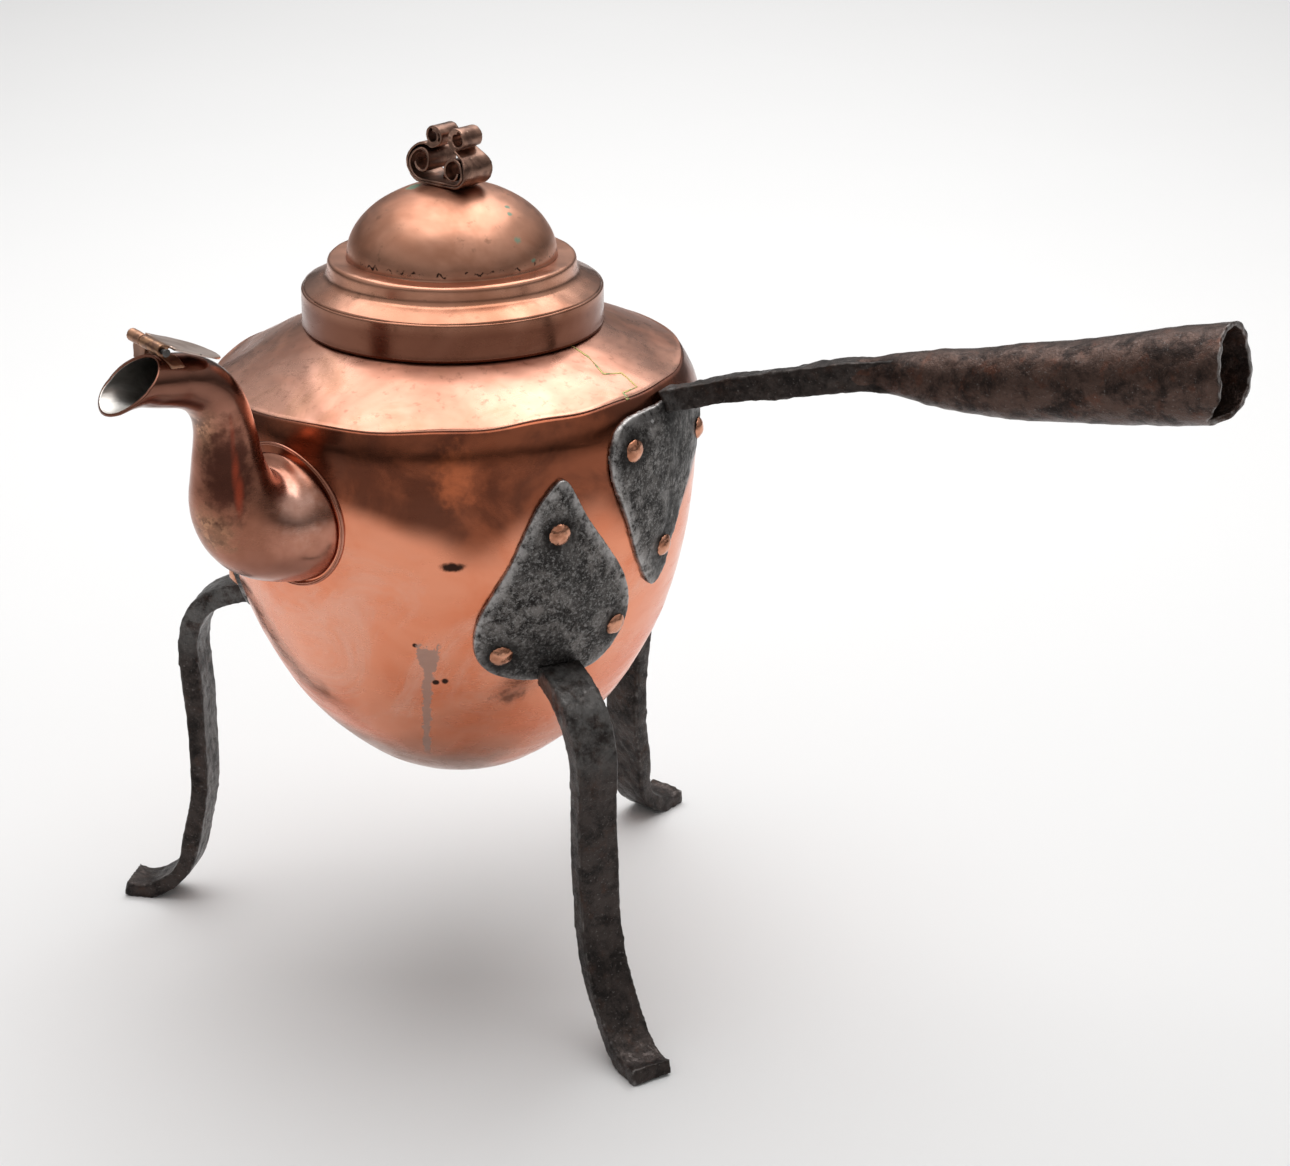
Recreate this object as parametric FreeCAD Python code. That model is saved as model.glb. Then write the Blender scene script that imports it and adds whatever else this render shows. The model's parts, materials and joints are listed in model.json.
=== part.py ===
"""Three-legged copper coffee kettle: iron socket handle, spout with a hinged flap, lift-off lid.

Frame: origin on the pot's axis at floor level, +Z up, +X along the handle. Millimetres.
Azimuths are degrees anticlockwise from +X. Every sub-part is one STEP file in parts/.
"""
import FreeCAD
import Part
import math
import os
from FreeCAD import Placement, Rotation, Vector

# ---------------------------------------------------------------- driving dimensions
# Pot: sheet copper
COPPER = 1.5              # wall of the bowl and shoulder
BELLY_RADIUS = 100.0
BELLY_Z = 245.0           # height of the widest ring
BOTTOM_Z = 80.0           # lowest point of the bowl
RADIUS_POWER = 1.93       # superellipse powers of the bowl's profile
DEPTH_POWER = 2.32
TURN_IN = 50.0            # vertical half-axis of the short curve above the belly
RIM_Z = 268.0             # the bowl's blank ends here, and the crease trims it
CREASE_Z = 259.6          # crease between bowl and shoulder, on the axis
CREASE_TILT = 2.15        # degrees
CREASE_HIGH_SIDE = 20.0   # azimuth of the crease's high side
NECK_Z = 276.4            # flat ring that the collar stands on
NECK_RING_RADIUS = 59.6
COLLAR_RADIUS = 58.3
COLLAR_TOP = 291.6
COLLAR_WALL = 1.2

# Lid
LID_WALL = 1.2
BAND_RADIUS = 61.4
BAND_FOOT = 276.6
BAND_TOP = 291.9
STEP_RADIUS = 50.7
STEP_FOOT = 296.7
STEP_TOP = 303.7
LEDGE_INNER = 40.6
DOME_RADIUS = 42.4
DOME_HEIGHT = 29.4
KNOB_STRIP = 1.0          # thickness of the rolled strips
KNOB_GAP = 0.02           # between the two strips
KNOB_WIDTH = 16.5         # of the strips at their foot
KNOB_TOP_WIDTH = 11.0     # of the strips in the upper scrolls
KNOB_TAPER = (9.0, 18.0)  # heights above the dome between which they narrow
KNOB_RIVET = 1.8          # shank radius
KNOB_RIVET_HEAD = 1.2     # thickness of each head
# moves of each half strip, outward from the foot: ("line", length) or ("arc", radius, turn to the left)
OUTER_MOVES = [
    [("line", 8.6), ("arc", 6.6, 150), ("line", 6.0), ("arc", 4.7, -20), ("arc", 4.0, -220),
     ("arc", 3.2, -200), ("arc", 2.2, -90)],
    [("line", 8.4), ("arc", 7.7, 200), ("arc", 4.7, -70), ("arc", 3.8, -220), ("arc", 2.9, -200),
     ("arc", 2.0, -90)],
]
INNER_MOVES = [
    [("line", 8.6), ("arc", 5.1, 150), ("arc", 4.4, 150), ("arc", 3.3, 150)],
    [("line", 8.4), ("arc", 6.2, 150), ("arc", 4.6, 150), ("arc", 3.4, 150)],
]

# Spout, drawn in the vertical plane through the pot's axis at this azimuth
SPOUT_AZIMUTH = -101.0
SPOUT_WALL = 1.2
SPOUT_ROOT_Z = 219.5
# each station: distance out, height, climb angle, half-height in the plane, half-width across it
SPOUT_STATIONS = [
    (88.0, 219.0, 2.0, 28.6, 28.2),
    (104.0, 220.0, 10.0, 25.5, 25.5),
    (117.0, 225.0, 40.0, 21.8, 21.0),
    (124.3, 235.5, 72.0, 17.6, 17.0),
    (126.0, 250.0, 90.0, 13.6, 14.0),
    (126.8, 262.0, 88.0, 11.5, 12.4),
    (130.0, 272.5, 66.0, 10.9, 11.8),
    (136.6, 280.3, 36.0, 10.7, 11.3),
    (146.0, 285.4, 16.0, 10.6, 11.2),
    (160.0, 288.4, 8.0, 10.0, 11.6),
    (172.0, 290.3, 8.0, 8.4, 11.0),
    (182.0, 292.0, 8.0, 8.0, 9.6),
    (192.0, 293.6, 8.0, 8.0, 9.0),
]
# where the spout's base meets its neck: distance out, height and climb of the joint
SPOUT_SEAM = (124.3, 236.0, 65.0)
SEAT_RING_RADIUS = 29.6   # soldered ring round the spout's foot
SEAT_RING_THICKNESS = 1.6
BOTTOM_SEAM_Z = 140.0     # where the bowl's bottom is joined to its side
STRAINER_DISC = 22.0      # radius of the pierced disc let into the bowl's side behind the spout
STRAINER_HOLE = 2.5       # radius of each of its holes
STRAINER_RINGS = [(0.0, 1), (8.0, 6), (16.0, 12)]    # radius and number of holes in each ring

# Spout flap and its hinge
HINGE_OUT = 160.3
HINGE_Z = 303.0
HINGE_SKEW = 9.0          # the barrel's near end swings outward
HINGE_TILT = 5.0          # and down
BARREL_RADIUS = 2.4
PIN_RADIUS = 0.95
PIN_CLEARANCE = 0.05
KNUCKLE_GAP = 0.3
FAR_KNUCKLE = (-12.3, -4.3)
NEAR_KNUCKLE = (8.7, 10.7)
SADDLE_THICKNESS = 0.8
SADDLE = (152.0, 158.5, 9.0)   # from, to and half-width of the leaf's saddle on the spout
STRAP_THICKNESS = 2.0
FAR_STRAP = 9.0           # length of the strap below each fixed knuckle
NEAR_STRAP = 14.0
PIN_HEAD = 0.6
FLAP_THICKNESS = 0.9
FLAP_LENGTH = 29.0
FLAP_FAR_SIDE = -9.0
FLAP_NEAR_SIDE = 11.0
FLAP_CLOSED_ANGLE = -38.0  # direction of the flap from the hinge, closed on the mouth
FLAP_OPEN_ANGLE = 202.0    # lying back on the elbow
SEAT_GAP = 0.25            # between the closed flap and the mouth's edge

# Ironwork
PLATE = 2.4
HANDLE_PLATE_AZIMUTH = 0.0
# outlines are distances across the plate and heights
HANDLE_PLATE_OUTLINE = [
    (-8.0, 181.5), (-17.0, 192.0), (-26.0, 210.0), (-33.0, 226.0), (-37.5, 241.0), (-32.5, 253.5),
    (-14.0, 257.5), (14.0, 257.0), (29.0, 251.0), (31.5, 240.0), (22.0, 226.0), (8.0, 206.0),
]
HANDLE_RIVETS = [(-26.0, 244.0), (26.0, 238.0), (-3.0, 197.5)]
LEG_PLATE_OUTLINE = [
    (-2.0, 238.5), (-9.0, 231.0), (-21.5, 205.0), (-32.5, 178.0), (-29.5, 162.0), (-18.0, 153.5),
    (2.0, 150.5), (20.0, 152.0), (31.0, 161.5), (35.0, 176.0), (25.5, 201.0), (7.5, 228.5),
]
LEG_RIVETS = [(-1.5, 217.0), (-21.5, 166.0), (28.0, 170.0)]
# each leg: azimuth of its plate, azimuth of its bar, distance out of its shank and of its toe,
# and how far the bar leans anticlockwise on its way down, in degrees
LEGS = {
    "front": (-34.0, -31.8, 115.5, 158.0, 1.8),
    "back": (77.5, 79.3, 117.0, 151.5, 2.7),
    "left": (-161.0, -162.0, 119.0, 156.0, 0.0),
}
LEG_ROOT_Z = 150.0
LEG_WIDTH = 18.2
LEG_ROOT_THICKNESS = 9.5
LEG_TOE_THICKNESS = 7.0
RIVET_SHANK = 2.5
RIVET_HEAD = 4.8
RIVET_HEIGHT = 2.4
RIVET_TAIL = 4.0
RIVET_TAIL_HEIGHT = 1.4

# Handle, in the vertical plane through +X
ARM_LINE = [(92.0, 256.0), (101.0, 258.4), (113.0, 262.2), (156.0, 274.2), (187.0, 281.6), (207.0, 284.0)]
ARM_WIDTH = 9.5
ARM_ROOT_HEIGHT = 9.0
ARM_END_HEIGHT = 13.0
# the socket's stations hold the same five values as the spout's
SOCKET_STATIONS = [
    (203.0, 283.2, 4.0, 9.2, 9.6),
    (218.0, 284.4, 6.0, 11.4, 11.4),
    (238.0, 286.6, 8.0, 13.2, 13.3),
    (276.0, 293.0, 10.0, 15.8, 15.9),
    (312.0, 300.4, 11.0, 18.0, 18.1),
    (327.0, 303.8, 11.0, 18.7, 18.8),
]
SOCKET_WALL = 2.2
SOCKET_FLOOR = 222.0      # the hollow starts here
PAST_MOUTH = 8.0          # the tool that hollows the socket runs on past its mouth

# ---------------------------------------------------------------- shared helpers
UP = Vector(0, 0, 1)
BIG = 400.0


def save(shape, name):
    """Write one node."""
    shape.exportStep(os.path.join("parts", name + ".step"))


def spun(shape, azimuth):
    """Return the shape turned about the pot's axis."""
    copy = shape.copy()
    copy.rotate(Vector(0, 0, 0), UP, azimuth)
    return copy


def normals(points):
    """Return the left-hand unit normal at each point of an open outline in the XZ plane."""
    result = []
    for index in range(len(points)):
        x0, z0 = points[max(index - 1, 0)]
        x1, z1 = points[min(index + 1, len(points) - 1)]
        length = math.hypot(x1 - x0, z1 - z0)
        result.append(((z0 - z1) / length, (x1 - x0) / length))
    return result


def shifted(points, distances):
    """Move each point along its left-hand normal."""
    moved = []
    for (x, z), (nx, nz), distance in zip(points, normals(points), distances):
        moved.append((x + nx * distance, z + nz * distance))
    return moved


def curve(points):
    """Return a smooth edge through points of the XZ plane."""
    spline = Part.BSplineCurve()
    spline.interpolate([Vector(x, 0, z) for x, z in points])
    return spline.toShape()


def polyline(points):
    """Return straight edges through points of the XZ plane."""
    return Part.makePolygon([Vector(x, 0, z) for x, z in points]).Edges


def turned(edges):
    """Close the edges to a face and turn it about the pot's axis."""
    return Part.Face(Part.Wire(edges)).revolve(Vector(0, 0, 0), UP, 360)


def lathe(outline):
    """Turn a smooth outline that runs from the axis outward, closed by a flat top."""
    foot = outline[0]
    rim = outline[-1]
    return turned([curve(outline)] + polyline([rim, (0.0, rim[1]), foot]))


def ring(inner, outer, bottom, top):
    """Return an upright washer or tube round the pot's axis."""
    height = top - bottom
    base = Vector(0, 0, bottom)
    return Part.makeCylinder(outer, height, base).cut(Part.makeCylinder(inner, height, base))


def outline_prism(outline, near, far):
    """Push a closed smooth outline (across, height) outward from one radius to another."""
    spline = Part.BSplineCurve()
    spline.interpolate([Vector(near, across, height) for across, height in outline], PeriodicFlag=True)
    return Part.Face(Part.Wire(spline.toShape())).extrude(Vector(far - near, 0, 0))


def oval(out, height, climb, half_height, half_width):
    """Return an upright elliptical wire that faces along a direction climbing from the horizontal."""
    points = []
    climb_angle = math.radians(climb)
    for step in range(24):
        angle = math.radians(step * 15)
        lift = half_height * math.sin(angle)
        across = half_width * math.cos(angle)
        back = lift * math.sin(climb_angle)
        points.append(Vector(out - back, across, height + lift * math.cos(climb_angle)))
    spline = Part.BSplineCurve()
    spline.interpolate(points, PeriodicFlag=True)
    return Part.Wire(spline.toShape())


def blended(stations):
    """Return stations with smooth in-between ones, so that a ruled skin looks smooth."""
    steps = 4
    dense = []
    last = len(stations) - 1
    for index in range(last):
        following = stations[min(index + 2, last)]
        nearby = (stations[max(index - 1, 0)], stations[index], stations[index + 1], following)
        for step in range(steps):
            share = step / steps
            values = []
            for before, start, end, after in zip(*nearby):
                slope = (end - before) * share
                bend = (2 * before - 5 * start + 4 * end - after) * share ** 2
                twist = (3 * start - before - 3 * end + after) * share ** 3
                values.append(start + (slope + bend + twist) / 2)
            dense.append(tuple(values))
    return dense + [stations[last]]


def tube_solid(stations, inset):
    """Skin a row of stations as a solid, shrunk by an inset all along."""
    wires = []
    for out, height, climb, half_height, half_width in blended(stations):
        wires.append(oval(out, height, climb, half_height - inset, half_width - inset))
    return Part.makeLoft(wires, True, True)


# ---------------------------------------------------------------- pot
def bowl_radius(height):
    """Return the radius of the bowl's outside at a height."""
    if height >= BELLY_Z:
        rise = (height - BELLY_Z) / TURN_IN
        return BELLY_RADIUS * math.sqrt(1 - rise * rise)
    depth = (BELLY_Z - height) / (BELLY_Z - BOTTOM_Z)
    return BELLY_RADIUS * (1 - depth ** DEPTH_POWER) ** (1 / RADIUS_POWER)


def bowl_profile():
    """Return the bowl's outer profile from the bottom centre to above the crease."""
    lower_steps = 12
    upper_steps = 4
    heights = []
    for step in range(lower_steps):
        angle = math.radians(90.0 * (1 - step / lower_steps))
        heights.append(BELLY_Z - (BELLY_Z - BOTTOM_Z) * math.sin(angle) ** (2 / DEPTH_POWER))
    for step in range(upper_steps + 1):
        heights.append(BELLY_Z + (RIM_Z - BELLY_Z) * step / upper_steps)
    return [(bowl_radius(height), height) for height in heights]


def bowl_solid(growth):
    """Return the bowl's outside as a solid, grown outward by a distance (negative shrinks it)."""
    profile = bowl_profile()
    grown = shifted(profile, [-growth] * len(profile))
    grown[0] = (0.0, grown[0][1])
    grown[-1] = (grown[-1][0], RIM_Z)
    return lathe(grown)


def crease_block():
    """Return a block that fills everything under the tilted crease plane."""
    block = Part.makeBox(BIG, BIG, BIG, Vector(-BIG / 2, -BIG / 2, -BIG))
    high = math.radians(CREASE_HIGH_SIDE)
    hinge_line = Vector(math.sin(high), -math.cos(high), 0)
    tilt = Placement(Vector(0, 0, CREASE_Z), Rotation(hinge_line, CREASE_TILT))
    block.Placement = tilt.multiply(block.Placement)
    return block


def spout_bit(radius, across, lift):
    """Return a bit that goes through the bowl's wall behind the spout."""
    reach_in = 15.0
    reach_out = 10.0
    start = Vector(BELLY_RADIUS - reach_in, across, SPOUT_ROOT_Z + lift)
    bit = Part.makeCylinder(radius, reach_in + reach_out, start, Vector(1, 0, 0))
    return spun(bit, SPOUT_AZIMUTH)


def strainer_bits():
    """Return the bits that pierce the strainer disc."""
    bits = []
    for radius, count in STRAINER_RINGS:
        for index in range(count):
            angle = 2 * math.pi * index / count
            bits.append(spout_bit(STRAINER_HOLE, radius * math.cos(angle), radius * math.sin(angle)))
    return bits


def make_bowl(outside, rivet_holes):
    """Bowl of the pot in three parts: bottom, side and the pierced disc behind the spout."""
    wall = outside.cut(bowl_solid(-COPPER)).common(crease_block()).cut(rivet_holes)
    below_seam = Part.makeBox(BIG, BIG, BOTTOM_SEAM_Z, Vector(-BIG / 2, -BIG / 2, 0))
    disc = spout_bit(STRAINER_DISC, 0.0, 0.0)
    strainer = wall.common(disc).cut(strainer_bits())
    return wall.common(below_seam), wall.cut([below_seam, disc]), strainer


def make_shoulder(outside):
    """Shoulder cone from the tilted crease to the level neck ring."""
    blank = outside.common(crease_block())
    crease_face = max(blank.Faces, key=lambda face: face.CenterOfMass.z)
    neck = Part.Wire(Part.makeCircle(NECK_RING_RADIUS, Vector(0, 0, NECK_Z)))
    cone = Part.makeLoft([crease_face.OuterWire, neck], True, True)
    upright_thickness = 1.1 * COPPER
    inside = cone.copy()
    inside.translate(Vector(0, 0, -upright_thickness))
    mouth = Part.makeCylinder(COLLAR_RADIUS - COLLAR_WALL, COLLAR_TOP - CREASE_Z, Vector(0, 0, CREASE_Z))
    return cone.cut(inside).cut(mouth)


# ---------------------------------------------------------------- lid
def make_lid_step():
    """Raised ring of the lid: sloping brim, upright wall and flat ledge."""
    outer = [
        (BAND_RADIUS, BAND_TOP), (STEP_RADIUS, STEP_FOOT), (STEP_RADIUS, STEP_TOP), (LEDGE_INNER, STEP_TOP),
    ]
    inner = [
        (LEDGE_INNER, STEP_TOP - LID_WALL), (STEP_RADIUS - LID_WALL, STEP_TOP - LID_WALL),
        (STEP_RADIUS - LID_WALL, STEP_FOOT - 0.8 * LID_WALL), (BAND_RADIUS - 2 * LID_WALL, BAND_TOP),
    ]
    return turned(polyline(outer + inner + outer[:1]))


def dome_solid(inset):
    """Return a flattened half dome on the lid's ledge, shrunk by an inset."""
    radius = DOME_RADIUS - inset
    height = DOME_HEIGHT - inset
    points = []
    for step in range(10):
        angle = math.radians(90 - 10 * step)
        points.append((radius * math.cos(angle) if step else 0.0, STEP_TOP + height * math.sin(angle)))
    points.append((radius, STEP_TOP))
    return turned([curve(points[:-1])] + polyline([points[-2], (0.0, STEP_TOP), points[0]]))


def strip_segment(start, heading, move):
    """Sweep one straight or curved piece of strip and return it with its end point and heading.

    The strip runs in the XZ plane and is wide along Y.
    """
    half = KNOB_STRIP / 2
    if move[0] == "line":
        length = move[1]
        solid = Part.makeBox(length, KNOB_WIDTH, KNOB_STRIP, Vector(0, -KNOB_WIDTH / 2, -half))
        end = Vector(length, 0, 0)
        turn = 0.0
    else:
        radius = move[1]
        turn = move[2]
        side = math.copysign(1.0, turn)
        corner = Vector(0, -KNOB_WIDTH / 2, -half)
        face = Part.Face(Part.makePolygon([
            corner, corner + Vector(0, KNOB_WIDTH, 0), corner + Vector(0, KNOB_WIDTH, KNOB_STRIP),
            corner + Vector(0, 0, KNOB_STRIP), corner,
        ]))
        centre = Vector(0, 0, side * radius)
        solid = face.revolve(centre, Vector(0, -1, 0), turn)
        end = Rotation(Vector(0, -1, 0), turn).multVec(-centre) + centre
    placement = Placement(start, Rotation(Vector(0, -1, 0), heading))
    solid.Placement = placement.multiply(solid.Placement)
    return solid, placement.multVec(end), heading + turn


def half_strip(start_height, moves):
    """Sweep half a strip that starts on the knob's centre line, heading outward."""
    point = Vector(0, 0, start_height)
    heading = 0.0
    pieces = []
    for move in moves:
        piece, point, heading = strip_segment(point, heading, move)
        pieces.append(piece)
    return pieces


def taper_block():
    """Return the block that the strips are trimmed to: full width at the foot, narrower above."""
    low, high = KNOB_TAPER
    foot = KNOB_WIDTH / 2
    top = KNOB_TOP_WIDTH / 2
    reach = KNOB_WIDTH + 10
    sides = [(foot, -1.0), (foot, low), (top, high), (top, 2 * high)]
    outline = [Vector(-reach, y, z) for y, z in sides]
    outline += [Vector(-reach, -y, z) for y, z in reversed(sides)]
    return Part.Face(Part.makePolygon(outline + outline[:1])).extrude(Vector(2 * reach, 0, 0))


def make_strip(start_height, moves):
    """Join the two halves of a strip, trim its sides and stand it on the dome."""
    near_moves, far_moves = moves
    pieces = half_strip(start_height, near_moves)
    for piece in half_strip(start_height, far_moves):
        pieces.append(piece.mirror(Vector(0, 0, 0), Vector(1, 0, 0)))
    strip = pieces[0].fuse(pieces[1:]).removeSplitter().common(taper_block())
    strip.translate(Vector(0, 0, STEP_TOP + DOME_HEIGHT))
    return spun(strip, SPOUT_AZIMUTH + 90)


def make_knob():
    """Two rolled strips: the outer one ends in outward scrolls, the inner one in inward scrolls."""
    outer = make_strip(KNOB_STRIP / 2, OUTER_MOVES)
    inner = make_strip(1.5 * KNOB_STRIP + KNOB_GAP, INNER_MOVES)
    return outer, inner


def knob_rivet_hole():
    """Return the hole for the knob's rivet, through the dome and both strips."""
    reach = 6.0
    return Part.makeCylinder(KNOB_RIVET, 2 * reach, Vector(0, 0, STEP_TOP + DOME_HEIGHT - reach))


def make_knob_rivet(dome):
    """Rivet through the two strips and the dome's crown, headed inside and above."""
    crown = STEP_TOP + DOME_HEIGHT
    underside = crown - LID_WALL
    seat = crown + 2 * KNOB_STRIP + KNOB_GAP
    shank = Part.makeCylinder(KNOB_RIVET, seat - underside, Vector(0, 0, underside))
    upper = Part.makeCylinder(1.6 * KNOB_RIVET, KNOB_RIVET_HEAD, Vector(0, 0, seat))
    lower = Part.makeCylinder(1.8 * KNOB_RIVET, KNOB_RIVET_HEAD, Vector(0, 0, underside - KNOB_RIVET_HEAD))
    return shank.fuse([upper, lower]).removeSplitter().cut(dome)


# ---------------------------------------------------------------- spout and flap
def spout_solid(inset):
    """Return the spout's outside as a solid, shrunk by an inset all along."""
    return tube_solid(SPOUT_STATIONS, inset)


def hinge_placement():
    """Return the flap hinge's frame: its Y axis lies along the pin."""
    turn = Rotation(UP, -HINGE_SKEW).multiply(Rotation(Vector(1, 0, 0), -HINGE_TILT))
    return Placement(Vector(HINGE_OUT, 0, HINGE_Z), turn)


def at_hinge(shape, angle):
    """Swing a shape about the pin to an angle above the horizontal and put it at the hinge."""
    swing = Placement(Vector(0, 0, 0), Rotation(Vector(0, 1, 0), -angle))
    moved = shape.copy()
    moved.Placement = hinge_placement().multiply(swing).multiply(moved.Placement)
    return moved


def barrel(radius, start, end):
    """Return a cylinder along the pin."""
    return Part.makeCylinder(radius, end - start, Vector(0, start, 0), Vector(0, 1, 0))


def mouth_cutter():
    """Return the block that trims the spout's end to the slanting mouth."""
    length, width, height = 120.0, 120.0, 60.0
    block = Part.makeBox(length, width, height, Vector(-length / 3, -width / 2, -BARREL_RADIUS - SEAT_GAP))
    return at_hinge(block, FLAP_CLOSED_ANGLE)


def make_spout(outside, pot_outside):
    """Spout in two parts: a base trimmed to the bowl, and a neck with a slanting mouth."""
    tube = outside.cut(spout_solid(SPOUT_WALL)).cut(mouth_cutter()).cut(pot_outside)
    out, height, climb = SPOUT_SEAM
    upper = Part.makeBox(BIG, BIG, BIG, Vector(-BIG / 2, -BIG / 2, 0))
    tilt = Placement(Vector(out, 0, height), Rotation(Vector(0, 1, 0), 90.0 - climb))
    upper.Placement = tilt.multiply(upper.Placement)
    return tube.cut(upper), tube.common(upper)


def make_seat_ring(outside, pot_outside):
    """Flat ring soldered round the spout's foot."""
    skin = spun(bowl_solid(SEAT_RING_THICKNESS).cut(bowl_solid(0.0)), -SPOUT_AZIMUTH)
    start = 0.7 * BELLY_RADIUS
    plug = Part.makeCylinder(SEAT_RING_RADIUS, 2 * start, Vector(start, 0, SPOUT_ROOT_Z), Vector(1, 0, 0))
    return skin.common(plug).cut(outside)


def make_hinge_leaf(outside):
    """Saddle soldered to the neck with a far knuckle, a near knuckle and a strap to each."""
    start, end, half_width = SADDLE
    corner = Vector(start, -half_width, SPOUT_STATIONS[-1][1])
    crown = Part.makeBox(end - start, 2 * half_width, HINGE_Z, corner)
    pieces = []
    for (near, far), length in ((FAR_KNUCKLE, FAR_STRAP), (NEAR_KNUCKLE, NEAR_STRAP)):
        strap = Part.makeBox(STRAP_THICKNESS, far - near, length, Vector(-BARREL_RADIUS, near, -length))
        pieces.append(at_hinge(strap.fuse(barrel(BARREL_RADIUS, near, far)), 0.0))
    leaf = spout_solid(-SADDLE_THICKNESS).common(crown).fuse(pieces).cut(outside)
    bore = barrel(PIN_RADIUS + PIN_CLEARANCE, FAR_KNUCKLE[0] - 1, NEAR_KNUCKLE[1] + 1)
    clear = barrel(BARREL_RADIUS + KNUCKLE_GAP, FAR_KNUCKLE[1], NEAR_KNUCKLE[0])
    leaf = leaf.cut([at_hinge(bore, 0.0), at_hinge(clear, 0.0)])
    return max(leaf.Solids, key=lambda solid: solid.Volume)


def make_flap():
    """Flap: knuckle and round-ended plate, lying open."""
    start = FAR_KNUCKLE[1] + KNUCKLE_GAP
    end = NEAR_KNUCKLE[0] - KNUCKLE_GAP
    middle = (FLAP_FAR_SIDE + FLAP_NEAR_SIDE) / 2
    half = (FLAP_NEAR_SIDE - FLAP_FAR_SIDE) / 2
    clear = BARREL_RADIUS + 2 * KNUCKLE_GAP
    bottom = -BARREL_RADIUS
    straight = FLAP_LENGTH - half
    plate = Part.makeBox(straight - clear, 2 * half, FLAP_THICKNESS, Vector(clear, FLAP_FAR_SIDE, bottom))
    nose = Part.makeCylinder(half, FLAP_THICKNESS, Vector(straight, middle, bottom))
    root = Part.makeBox(clear + 1, end - start, FLAP_THICKNESS, Vector(0, start, bottom))
    bore = barrel(PIN_RADIUS + PIN_CLEARANCE, start - 1, end + 1)
    flap = barrel(BARREL_RADIUS, start, end).fuse([plate, nose, root]).cut(bore).removeSplitter()
    return at_hinge(flap, FLAP_OPEN_ANGLE)


def make_flap_pin():
    """Hinge pin with a small peened head at each end."""
    start = FAR_KNUCKLE[0]
    end = NEAR_KNUCKLE[1]
    head_radius = 1.7 * PIN_RADIUS
    pin = barrel(PIN_RADIUS, start - PIN_HEAD, end + PIN_HEAD)
    heads = [barrel(head_radius, start - PIN_HEAD, start), barrel(head_radius, end, end + PIN_HEAD)]
    return at_hinge(pin.fuse(heads).removeSplitter(), 0.0)


# ---------------------------------------------------------------- ironwork
def wall_point(across, height):
    """Return a point on the bowl's outside at a distance across, and the outward normal there."""
    step = 0.5
    radius = bowl_radius(height)
    slope = (bowl_radius(height + step) - bowl_radius(height - step)) / (2 * step)
    turn = math.asin(across / radius)
    normal = Vector(math.cos(turn), math.sin(turn), -slope)
    normal.normalize()
    return Vector(radius * math.cos(turn), across, height), normal


def make_plate(outline, azimuth, skin):
    """Iron plate that hugs the bowl."""
    return spun(outline_prism(outline, 0.5 * BELLY_RADIUS, 1.5 * BELLY_RADIUS).common(skin), azimuth)


def rivet_shanks(places, azimuth):
    """Return the cylinders that the rivets fill."""
    reach = 8.0
    shanks = []
    for across, height in places:
        point, normal = wall_point(across, height)
        shank = Part.makeCylinder(RIVET_SHANK, 2 * reach, point - normal * reach, normal)
        shanks.append(spun(shank, azimuth))
    return shanks


def make_rivets(places, azimuth, plate, wall):
    """Domed rivets through a plate and the bowl's wall, headed over inside."""
    sunk = 0.2                # each head starts this far under the surface it sits on
    ball_radius = (RIVET_HEAD ** 2 + RIVET_HEIGHT ** 2) / (2 * RIVET_HEIGHT)
    rivets = []
    for across, height in places:
        point, normal = wall_point(across, height)
        seat = point + normal * PLATE
        inside = point - normal * COPPER
        shank = Part.makeCylinder(RIVET_SHANK, PLATE + COPPER + 2 * sunk, inside - normal * sunk, normal)
        ball = Part.makeSphere(ball_radius, seat + normal * (RIVET_HEIGHT - ball_radius))
        head_zone = Part.makeCylinder(RIVET_HEAD, 2 * RIVET_HEIGHT, seat - normal * sunk, normal)
        tail = Part.makeCylinder(RIVET_TAIL, RIVET_TAIL_HEIGHT, inside - normal * RIVET_TAIL_HEIGHT, normal)
        rivet = spun(shank.fuse([ball.common(head_zone), tail]), azimuth).cut([plate, wall])
        rivets.append(max(rivet.Solids, key=lambda solid: solid.Volume))
    return Part.makeCompound(rivets)


def swept_bar(line, start_size, end_size, width):
    """Thicken a centre line of the XZ plane to a bar that is wide across the plane."""
    spline = Part.BSplineCurve()
    spline.interpolate([Vector(x, 0, z) for x, z in line])
    count = 30
    points = []
    halves = []
    for index in range(count + 1):
        share = index / count
        place = spline.value(spline.FirstParameter + share * (spline.LastParameter - spline.FirstParameter))
        points.append((place.x, place.z))
        halves.append((start_size + share * (end_size - start_size)) / 2)
    upper = shifted(points, halves)
    lower = shifted(points, [-half for half in halves])
    lower.reverse()
    end = polyline([upper[-1], lower[0]])
    root = polyline([lower[-1], upper[0]])
    face = Part.Face(Part.Wire([curve(upper)] + end + [curve(lower)] + root))
    bar = face.extrude(Vector(0, width, 0))
    bar.translate(Vector(0, -width / 2, 0))
    return bar


def make_leg_bar(azimuth, shank, toe, lean, plated_bowl):
    """Forged leg: leaves the plate, drops, and turns out to a flat-soled foot."""
    line = [
        (82.0, 154.5), (97.0, 151.0), (shank - 7.0, 144.0), (shank, 131.0), (shank, 108.0),
        (shank - 0.8, 80.0), (shank, 52.0), (shank + 4.0, 34.0), (toe - 27.0, 15.0), (toe - 16.0, 5.4),
        (toe - 8.0, 2.7), (toe, 4.0),
    ]
    bar = swept_bar(line, LEG_ROOT_THICKNESS, LEG_TOE_THICKNESS, LEG_WIDTH)
    bar.rotate(Vector(0, 0, LEG_ROOT_Z), Vector(1, 0, 0), lean)
    below_floor = Part.makeBox(BIG, BIG, BIG, Vector(-BIG / 2, -BIG / 2, -BIG))
    return spun(bar.cut([below_floor, plated_bowl]), azimuth)


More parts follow.
